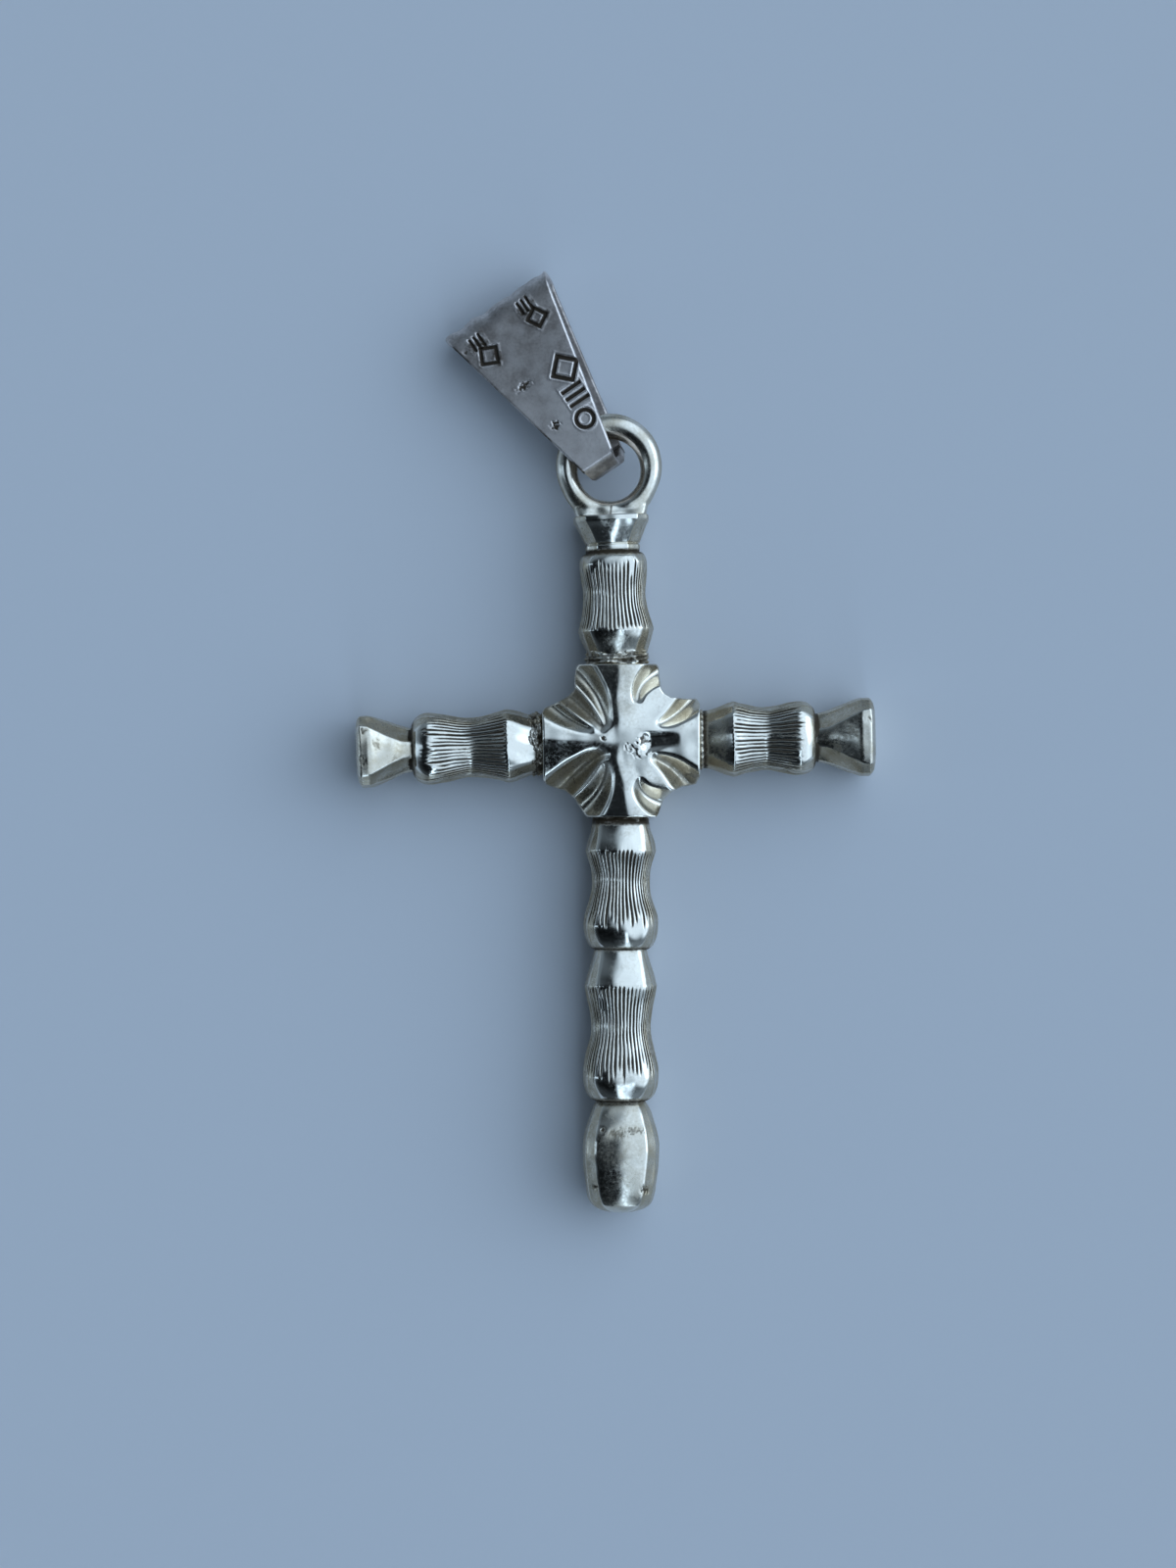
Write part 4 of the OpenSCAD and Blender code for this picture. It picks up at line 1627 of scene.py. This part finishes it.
@dataclass
class Bail(Piece):
    """The strip folded at its crest and closed at its tip, which hangs on the ring.

    Attributes:
        upright: Direction of the upper rod, from +X.
        ring_at: Distance of the ring's centre from the centre of the boss.
        ring_radius: Radius of the ring to the middle of its wire.
        height: Height of the ring's middle over the surface.
        length: Length from tip to crest.
        crest_width: Width at the crest.
        tip_width: Width at the tip.
        crest_thickness: Thickness of the fold.
        strip: Thickness of the strip.
        hold: Distance from the tip to the middle of the ring's wire.
        at: Place on the ring, turned from the upper rod's line.
        turn: Its direction, turned from that line.
        roll: Its roll, with the right edge raised.
        half_thickness: Half its thickness at the tip.
        pitch: How far its crest dips.
        nose: Length of the bevelled nose.
        nose_height: Height at which the nose's facet begins, for half the thickness.
        fold_power: How full the fold is, 1 for a half round.
        skew: How far the back leaf stands out to the right at the tip's side.
        rim: Width of its worn rims.
        counts: Points on the straight runs of the front leaf and of the back one.
        columns: Columns across the strip.
        row: Marks in a row down the front leaf.
        smeared: Marks below the crest, with dirt smeared round them.
        pits: Small pits of the front leaf.
        punch_depth: Depth of the marks.
        burr: Height of the metal that is raised beside them.
        burr_width: Width of that metal, for the strokes.
        burr_shine: How brightly it is rubbed.
        smear_width: Width of the smears, for the strokes.
        smears: Middle and swing of how dark the smears are, and their darkest.
        edge_dirt: The same for the dirt along the left rim.
        unevenness: Height of the hand-worked unevenness.
        crest_wave: How unevenly the crest is cut.
        wave_reach: How far from the crest that reaches.
        back_from: Between which depths below the middle the back leaf's skew sets in.
        left_rim: From which distances inside the left edge its rim sets in, for the rim's width.
        right_rim: The same at the right edge.
        crest_rim: The same at the crest, in millimetres.
        tip_brightening_from: Between which distances from the tip the front's brightening sets in.
        front_skin: Depths below the front's skin at which the front ends and begins.
        base_rub: How brightly the back is rubbed.
        front_rub: How much brighter the front is.
        tip_brightening: How much brighter again it is towards the tip.
        right_rim_highlight: Painted highlight on the right rim, which faces the light: how much brighter that
            rim is.
        crest_shine: How much brighter the crest is.
        seed: Start of the random draws.
    """

    upright: float = 92.5
    name: str = "bail_strip"
    node: str = "bail"
    slot: Slot = Slot.BAIL
    ring_at: float = 13.925
    ring_radius: float = 2.15
    height: float = 2.0
    length: float = 10.35
    crest_width: float = 6.2
    tip_width: float = 1.6
    crest_thickness: float = 2.7
    strip: float = 0.45
    hold: float = 2.3
    at: float = 37.0
    turn: float = 31.0
    roll: float = 6.0
    half_thickness: float = 1.235
    pitch: float = 2.8
    nose: float = 0.62
    nose_height: float = 0.42
    fold_power: float = 2 / 2.5
    skew: float = 2.1
    rim: float = 0.12
    counts: tuple[int, int] = (160, 50)
    columns: int = 112
    row: tuple[Punch, ...] = (
        Punch(Shape.LOZENGE, 5.5, -1.25, 0.72, 0.0, 0.12),
        Punch(Shape.BARS, 4.1, -0.95, 0.6, 90.0, 0.11),
        Punch(Shape.RING, 2.8, -0.68, 0.45, 0.0, 0.11),
    )
    smeared: tuple[Punch, ...] = (
        Punch(Shape.LOZENGE, 8.2, 1.6, 0.56, 20.0, 0.1),
        Punch(Shape.BARS, 9.1, 1.75, 0.4, 0.0, 0.08),
        Punch(Shape.LOZENGE, 8.45, -1.5, 0.5, -15.0, 0.1),
        Punch(Shape.BARS, 9.3, -1.3, 0.4, 0.0, 0.08),
    )
    pits: tuple[Dent, ...] = (
        Dent(5.9, 1.0, 0.22, 0.07, 0.8, 2.2),
        Dent(3.35, 0.75, 0.26, 0.08, 0.9),
        Dent(9.0, 2.5, 0.16, 0.05, 0.7),
    )
    punch_depth: float = 0.13
    burr: float = 0.03
    burr_width: float = 1.9
    burr_shine: float = 0.35
    smear_width: float = 3.2
    smears: tuple[float, float, float] = (0.42, 0.3, 0.6)
    edge_dirt: tuple[float, float, float] = (0.42, 0.25, 0.7)
    unevenness: float = 0.004
    crest_wave: float = 0.05
    wave_reach: float = 1.5
    back_from: Range = (-0.3, 0.9)
    left_rim: Range = (1.3, 0.5)
    right_rim: Range = (1.0, 0.3)
    crest_rim: Range = (0.7, 0.2)
    tip_brightening_from: Range = (8.5, 1.5)
    front_skin: Range = (0.2, 0.1)
    base_rub: float = 0.2
    front_rub: float = 0.05
    tip_brightening: float = 0.7
    right_rim_highlight: float = 0.7
    crest_shine: float = 0.3
    seed: int = 31

    def frame(self) -> Matrix:
        """Where the bail hangs, in millimetres.

        Returns:
            The bail's frame: its tip at the origin, its crest along +X, its front leaf up.
        """
        def turned(angle: float, axis: str) -> Matrix:
            """A turn about an axis."""
            return Matrix.Rotation(math.radians(angle), 4, axis)

        return (
            Matrix.Translation((0, 0, self.height)) @ turned(self.upright, "Z")
            @ Matrix.Translation((self.ring_at, 0, 0)) @ turned(self.at, "Z")
            @ Matrix.Translation((self.ring_radius, 0, 0)) @ turned(self.turn - self.at, "Z")
            @ turned(self.pitch, "Y") @ turned(-self.roll, "X") @ Matrix.Translation((-self.hold, 0, 0))
        )

    def leaf(self, count: int) -> list[Point]:
        """The outer face of the front leaf, seen from the side.

        Args:
            count: How many points lie on its straight run.

        Returns:
            Distances from the tip, and heights over the middle of the fold.
        """
        radius = self.crest_thickness / 2
        crest = self.length - radius
        half, low = self.half_thickness, self.nose_height
        nose = [(0.0, 0.0), (0.03, 0.3 * half), (0.1 * self.nose, low * half)]
        facet = [(self.nose * s, half * (low + (1 - low) * (s - 0.1) / 0.9)) for s in (0.4, 0.7, 0.95)]
        start = self.nose * 1.05
        front = [
            (start + (crest - start) * s, half + (radius - half) * s) for s in np.linspace(0, 1, count)
        ]
        bend = [
            (crest + radius * math.sin(a) ** self.fold_power, radius * math.cos(a) ** self.fold_power)
            for a in np.linspace(0, math.pi / 2, 28)[1:-1]
        ]
        return nose + facet + front + bend

    def loop(self) -> list[Point]:
        """Once round the strip from the tip, finely over the struck leaf and coarsely over the plain one."""
        fine, coarse = (self.leaf(count) for count in self.counts)
        return fine + [(self.length, 0.0)] + [(x, -z) for x, z in reversed(coarse[1:])]

    def blank(self) -> bmesh.types.BMesh:
        """A flat strip folded round the loop, joined at its tip and thickened inwards.

        Returns:
            The blank, in the bail's own frame.
        """
        loop = self.loop()
        bm = bmesh.new()
        bmesh.ops.create_grid(bm, x_segments=len(loop), y_segments=self.columns, size=0.5)
        for vert in bm.verts:
            x, z = loop[round((vert.co.x + 0.5) * len(loop)) % len(loop)]
            half = self.tip_width / 2 + (self.crest_width - self.tip_width) / 2 * x / self.length
            share = 2 * vert.co.y
            inside = share / (1 - 2 / self.columns) * (half - self.rim)
            vert.co = Vector((x, math.copysign(half, share) if abs(share) > 0.999 else inside, z))
        bmesh.ops.remove_doubles(bm, verts=bm.verts, dist=SAME_PLACE)
        bmesh.ops.recalc_face_normals(bm, faces=bm.faces)
        bmesh.ops.solidify(bm, geom=bm.faces, thickness=self.strip)
        bmesh.ops.recalc_face_normals(bm, faces=bm.faces)
        rims = [edge for edge in bm.edges if edge.is_manifold and edge.calc_face_angle() > math.radians(75)]
        bmesh.ops.bevel(
            bm, geom=rims, affect="EDGES", offset=0.8 * self.rim, segments=3, profile=0.5, material=-1
        )
        return bm

    def patches(self, draw: int, length: float, flat: Array, strength: tuple[float, float, float]) -> Array:
        """Patches of dirt.

        Args:
            draw: Number of the random draw.
            length: Typical size of a patch.
            flat: Places on the strip, one row each.
            strength: Middle, swing and most of how dark they are.

        Returns:
            How dark each place is.
        """
        middle, swing, most = strength
        return np.clip(middle + swing * self.uneven(draw, length, flat), 0, most)

    def work(self, blank: Array) -> Surface:
        """Strikes the front leaf, skews the back one and hangs the bail on the ring.

        Args:
            blank: Points of the blank.

        Returns:
            The finished surface.
        """
        x, y, z = blank.T.copy()
        flat = np.column_stack([x, y])
        radius = self.crest_thickness / 2
        skin = np.interp(x, [self.nose, self.length - radius], [self.half_thickness, radius])
        skin_depth, skin_fade = self.front_skin
        front = np.clip((z - skin + skin_depth) / skin_fade, 0, 1)
        lift, grime, shine = np.zeros_like(z), np.zeros_like(z), np.zeros_like(z)
        for punch in self.row + self.smeared:
            share = punch.share(x, y) * front
            burr = punch.share(x, y, self.burr_width) * front - share
            lift += self.burr * burr - self.punch_depth * share
            grime = np.maximum(grime, share)
            shine += self.burr_shine * burr
        smears = self.patches(3, 0.8, flat, self.smears)
        for punch in self.smeared:
            grime = np.maximum(grime, punch.share(x, y, self.smear_width) * front * smears)
        lift, grime = dented(self.pits, (x, y), self.uneven(0, 0.2, flat), front, lift, grime)
        lift += self.unevenness * self.uneven(1, 2.4, blank)
        back = eased(-z, *self.back_from)
        y = y + back * (self.length - x) * -math.tan(math.radians(self.skew))
        wave = self.crest_wave * eased(x, self.length - self.wave_reach, self.length)
        x = x + wave * self.uneven(4, 1.3, flat[:, 1:])
        placed = np.column_stack([x, y, z + lift, np.ones_like(x)]) @ np.array(self.frame()).T
        half = (self.tip_width + (self.crest_width - self.tip_width) * x / self.length) / 2
        left_rim = eased(blank[:, 1], *(half - share * self.rim for share in self.left_rim))
        right_rim = eased(-blank[:, 1], *(half - share * self.rim for share in self.right_rim))
        grime = np.maximum(grime, self.patches(5, 2.4, flat, self.edge_dirt) * left_rim * front)
        # Painted highlight: the right rim, which faces the light, is brightened through the rub mark.
        shine += self.right_rim_highlight * right_rim * front
        shine += self.crest_shine * eased(x, *(self.length - inside for inside in self.crest_rim))
        rub = self.base_rub + front * (self.front_rub + self.tip_brightening * eased(x, *self.tip_brightening_from)) + shine
        return Surface(placed[:, :3], grime, rub)


@dataclass(frozen=True)
class Patch:
    """A bright or dark patch of the dome.

    Attributes:
        azimuth: Direction of its middle, from +X.
        tilt: Angle of its middle from straight up.
        edge: Cosines of the angles from its middle at which it begins, and at which it is whole.
    """

    azimuth: float
    tilt: float
    edge: Range


@dataclass(frozen=True)
class Strip:
    """A narrow part of the dome with soft sides.

    Attributes:
        right: Ranges of the cosine to +X over which its sides set in.
        ahead: The same for the cosine to +Y.
    """

    right: tuple[Range, ...]
    ahead: tuple[Range, ...]

    def share(self, right: Value, ahead: Value) -> Value:
        """How far each direction lies in the strip.

        Args:
            right: Its cosine to +X.
            ahead: Its cosine to +Y.

        Returns:
            Shares from 0 outside it to 1 in it.
        """
        sides = [right.eased(*edge) for edge in self.right] + [ahead.eased(*edge) for edge in self.ahead]
        return reduce(mul, sides)


@dataclass
class Studio:
    """The floor, the light and the camera.

    Attributes:
        floor_size: Side of the floor, in metres.
        floor_colour: Its colour.
        floor_roughness: Its roughness.
        aim: The point that the camera looks down on.
        rise: Height of the camera over that point.
        seen: Height of what the camera sees there.
        sensor: Long side of the camera's sensor.
        window: The broad bright window.
        core: Its brightest part.
        shade: The dark part of the dome, which the polished front mirrors.
        upper: The dome without its foot, over which the window brightens.
        foot: The band round the dome's foot.
        foot_sides: Squares of the cosine to +X between which that band sets in, at the left and the right.
        left_strip: The strip at the left.
        lower_strip: The strip at the lower right.
        dusk: The darker part at the lower left.
        wall: Brightness of the bare dome.
        shade_depth: What the dark part takes off it.
        dusk_depth: Share of it that the dusk takes off.
        left_level: Brightness of the strip at the left.
        lower_level: Brightness of the strip at the lower right.
        window_level: Brightness of the window at the dome's foot, and what it gains above.
        core_level: Brightness that its brightest part adds.
        foot_level: Brightness of the band at the dome's foot.
        clouds: Least brightness that clouds leave, and what they add.
        cloud_size: Size of the clouds, a thousandth of the dome's radius being 1.
        dome_colour: Colour of the dome.
        window_colour: Colour of the window.
    """

    floor_size: float = 6.0
    floor_colour: Colour = (0.66, 0.695, 0.75)
    floor_roughness: float = 0.7
    aim: tuple[float, float, float] = (-1.675, -2.19, 2.0)
    rise: float = 200.0
    seen: float = 80.0
    sensor: float = 36.0
    window: Patch = Patch(20.0, 50.0, (0.53, 0.74))
    core: Patch = Patch(15.0, 60.0, (0.90, 0.97))
    shade: Patch = Patch(215.0, 12.0, (0.45, 0.95))
    upper: Patch = Patch(0.0, 0.0, (-0.1, 0.5))
    foot: Patch = Patch(0.0, 0.0, (0.35, 0.1))
    foot_sides: Range = (0.3, 0.8)
    left_strip: Strip = Strip(((-0.50, -0.58),), ((-0.13, -0.06), (0.09, 0.03)))
    lower_strip: Strip = Strip(((0.03, 0.07), (0.22, 0.15)), ((-0.2, -0.4),))
    dusk: Strip = Strip(((0.05, -0.02),), ((-0.12, -0.4),))
    wall: float = 0.17
    shade_depth: float = 0.158
    dusk_depth: float = 0.75
    left_level: float = 0.65
    lower_level: float = 1.4
    window_level: Range = (0.2, 0.68)
    core_level: float = 0.9
    foot_level: float = 0.16
    clouds: Range = (0.78, 0.44)
    cloud_size: float = 420.0
    dome_colour: Colour = (0.74, 1.0, 1.30)
    window_colour: Colour = (0.78, 1.0, 1.26)

    def floor(self) -> bpy.types.Object:
        """A plain pale floor.

        Returns:
            The floor.
        """
        bm = bmesh.new()
        bmesh.ops.create_grid(bm, x_segments=4, y_segments=4, size=self.floor_size / 2)
        made = scene_object("floor", bm)
        stone = bpy.data.materials.new("pale_floor")
        stone.use_nodes = True
        graph = Graph(stone.node_tree)
        inputs = {"Base Color": (*self.floor_colour, 1.0), "Roughness": self.floor_roughness}
        shader = graph.node("ShaderNodeBsdfPrincipled", {}, inputs)
        graph.node("ShaderNodeOutputMaterial", {}, {"Surface": shader})
        made.data.materials.append(stone)
        return made

    def light(self) -> None:
        """A soft dome with one broad bright window, two narrow strips and a faint band round its foot."""
        world = bpy.data.worlds.new("dome")
        bpy.context.scene.world = world
        world.use_nodes = True
        graph = Graph(world.node_tree)
        way = graph.node("ShaderNodeTexCoord", output="Generated")
        window, core, shade, upper, foot = (
            self.facing(graph, way, patch.azimuth, patch.tilt).eased(*patch.edge)
            for patch in (self.window, self.core, self.shade, self.upper, self.foot)
        )
        right = self.facing(graph, way, 0.0, 90.0)
        ahead = self.facing(graph, way, 90.0, 90.0)
        left_strip, lower_strip, dusk = (
            strip.share(right, ahead) for strip in (self.left_strip, self.lower_strip, self.dusk)
        )
        window_foot, window_gain = self.window_level
        level = (self.wall - shade * self.shade_depth) * (1 - dusk * self.dusk_depth)
        level = level + left_strip * self.left_level + lower_strip * self.lower_level
        level = level + window * (window_foot + upper * window_gain) + core * self.core_level
        level = level + foot * (right * right).eased(*self.foot_sides) * self.foot_level
        least, swing = self.clouds
        level = level * (least + graph.noise(way, self.cloud_size) * swing)
        colour = graph.mixed(window, self.dome_colour, self.window_colour)
        lit = graph.node("ShaderNodeBackground", {}, {"Color": colour, "Strength": level})
        graph.node("ShaderNodeOutputWorld", {}, {"Surface": lit})

    @staticmethod
    def facing(graph: Graph, way: Value, azimuth: float, tilt: float) -> Value:
        """How squarely each direction of the dome faces a chosen one.

        Args:
            graph: The dome's nodes.
            way: Direction of a point of the dome.
            azimuth: Direction of the chosen point, from +X.
            tilt: Its angle from straight up.

        Returns:
            The cosine of the angle between the two.
        """
        (cos, sin), (up, out) = heading(azimuth), heading(tilt)
        chosen = (out * cos, out * sin, up)
        return graph.node("ShaderNodeVectorMath", {"operation": "DOT_PRODUCT"}, {0: way, 1: chosen}, "Value")

    def camera(self) -> None:
        """A camera straight above, as the photo's."""
        made = bpy.data.objects.new("camera", bpy.data.cameras.new("camera"))
        bpy.context.scene.collection.objects.link(made)
        made.location = Vector(self.aim) * MM + Vector((0, 0, self.rise * MM))
        made.data.sensor_width = self.sensor
        made.data.lens = self.sensor * self.rise / self.seen
        made.data.clip_start = 0.005
        bpy.context.scene.camera = made

    def build(self) -> None:
        """Sets everything up."""
        self.floor()
        self.light()
        self.camera()
        bpy.context.scene.view_settings.view_transform = "Standard"


@dataclass
class Pendant:
    """The whole cross with its bail.

    Attributes:
        upper: Line of the upper rod.
        left: Line of the left rod.
        lower: Line of the lower rod.
        right: Line of the right rod.
    """

    upper: Line = Line(92.5)
    left: Line = Line(182.4)
    lower: Line = Line(270.0)
    right: Line = Line(1.0)

    def barrels(self) -> list[Piece]:
        """The five engraved barrels.

        Returns:
            The barrels.
        """
        return [
            Barrel(
                "upper_barrel", self.upper, seed=101, start=4.275, length=5.3, swells_at=(0.24, 0.59, 0.9),
                inner_width=3.78, waist_width=3.06, outer_width=3.34, neck_width=2.66, root_wear=0.6,
            ),
            Barrel(
                "lower_barrel", self.lower, seed=201, start=4.275, length=6.35, swells_at=(0.19, 0.46, 0.81),
                inner_width=3.54, waist_width=2.78, outer_width=3.68, neck_width=2.46, root_bevel=0.24,
            ),
            Barrel(
                "foot_barrel", self.lower, seed=301, start=10.625, length=7.7, swells_at=(0.22, 0.5, 0.84),
                root_width=2.46, inner_width=3.66, waist_width=2.9, outer_width=3.74, neck_width=2.38,
                root_bevel=0.24,
            ),
            Barrel(
                "left_barrel", self.left, seed=401, start=4.4, length=6.25, swells_at=(0.2, 0.52, 0.87),
                inner_width=3.7, waist_width=2.9, outer_width=3.52, neck_width=2.04,
            ),
            Barrel(
                "right_barrel", self.right, seed=501, start=4.4, length=5.5, swells_at=(0.22, 0.54, 0.86),
                inner_width=3.78, waist_width=3.08, outer_width=3.66, neck_width=2.38, root_wear=0.35,
            ),
        ]

    def ends(self) -> list[Piece]:
        """The plain ends of the rods.

        Returns:
            The two caps, the foot and the collar.
        """
        cap = (
            (-0.1, 0.6, 0.6), (0.0, 0.6, 0.6), (0.17, 0.66, 0.6), (0.4, 0.79, 0.48), (0.6, 0.9, 0.38),
            (0.78, 0.985, 0.3), (0.9, 0.985, 0.27), (0.965, 0.9, 0.27), (1.0, 0.72, 0.3),
        )
        foot = (
            (-0.04, 0.6, 0.3), (0.0, 0.63, 0.3), (0.06, 0.73, 0.28), (0.15, 0.825, 0.27), (0.25, 0.92, 0.27),
            (0.36, 0.985, 0.28), (0.46, 1.0, 0.28), (0.6, 0.975, 0.3), (0.75, 0.92, 0.32),
            (0.85, 0.875, 0.34), (0.92, 0.79, 0.36), (0.965, 0.63, 0.38), (1.0, 0.35, 0.4),
        )
        collar = (
            (-0.32, 0.66, 0.4), (-0.2, 0.69, 0.4), (-0.08, 0.72, 0.4), (0.0, 0.72, 0.4), (0.06, 0.69, 0.4),
            (0.1, 0.72, 0.39), (0.3, 0.79, 0.36), (0.6, 0.9, 0.32), (0.84, 1.0, 0.29), (0.95, 1.0, 0.28),
            (1.0, 0.97, 0.29),
        )
        left_dents = (
            Dent(13.0, -1.05, 0.22, 0.015, 0.6), Dent(13.1, 0.5, 0.25, 0.015, 0.5),
            Dent(12.35, -0.3, 0.3, 0.006, 0.4, 1.6), Dent(11.5, 0.35, 0.2, 0.006, 0.4),
        )
        right_dents = (
            Dent(10.9, -0.55, 0.35, 0.008, 0.5, 1.5), Dent(11.7, 0.2, 0.4, 0.008, 0.4),
            Dent(12.6, 0.9, 0.22, 0.015, 0.5),
        )
        foot_dents = (
            Dent(19.7, -0.95, 0.16, 0.05), Dent(19.75, 0.6, 0.32, 0.012, 0.5, 2.4),
            Dent(19.9, -0.2, 0.25, 0.012, 0.5, 3.0), Dent(22.75, 1.2, 0.25, 0.05, 0.8),
            Dent(22.6, -1.3, 0.18, 0.05, 0.8),
        )
        return [
            Profile(
                "left_cap", self.left, seed=601, start=10.65, length=2.8, width=3.64, table=cap,
                dents=left_dents, shine=0.3, unevenness=0.02,
            ),
            Profile(
                "right_cap", self.right, seed=611, start=9.9, length=3.0, width=3.94, table=cap,
                dents=right_dents, shine=0.4,
            ),
            Profile(
                "foot", self.lower, seed=621, start=18.325, length=5.65, width=3.78, table=foot,
                dents=foot_dents, shine=0.45, edge=0.3, crown=0.07,
            ),
            Profile(
                "collar", self.upper, seed=631, start=9.925, length=1.55, width=3.75, table=collar, edge=0.18,
            ),
        ]

    def seams(self) -> list[Piece]:
        """The solder round the roots of the rods.

        Returns:
            The four seams.
        """
        return [
            Solder(
                "top_solder", self.upper, seed=701, start=3.7, length=1.05, width=3.0, dirt=0.5,
            ),
            Solder(
                "left_solder", self.left, seed=711, start=3.85, length=0.95, width=3.0, lump=0.06,
                folds=0.03, grains=0.035, dirt=0.6,
            ),
            Solder(
                "bottom_solder", self.lower, seed=721, start=3.7, length=0.75, width=2.8, lump=0.02,
                folds=0.03,
            ),
            Solder(
                "right_solder", self.right, seed=731, start=3.95, length=0.28, width=2.95, lump=0.01,
                folds=0.0, beads=26, dirt=0.45,
            ),
        ]

    def build(self) -> None:
        """Builds every piece of the pendant."""
        worn = POLISHED.material()
        rubbed = RUBBED.material()
        for piece in [Boss(), *self.barrels(), *self.ends(), *self.seams(), Eye(self.upper)]:
            piece.build(worn)
        Bail().build(rubbed)


def main() -> None:
    """Builds the studio and the pendant."""
    logging.basicConfig(level=logging.INFO, format="%(message)s")
    Studio().build()
    Pendant().build()


if __name__ == "__main__":
    main()
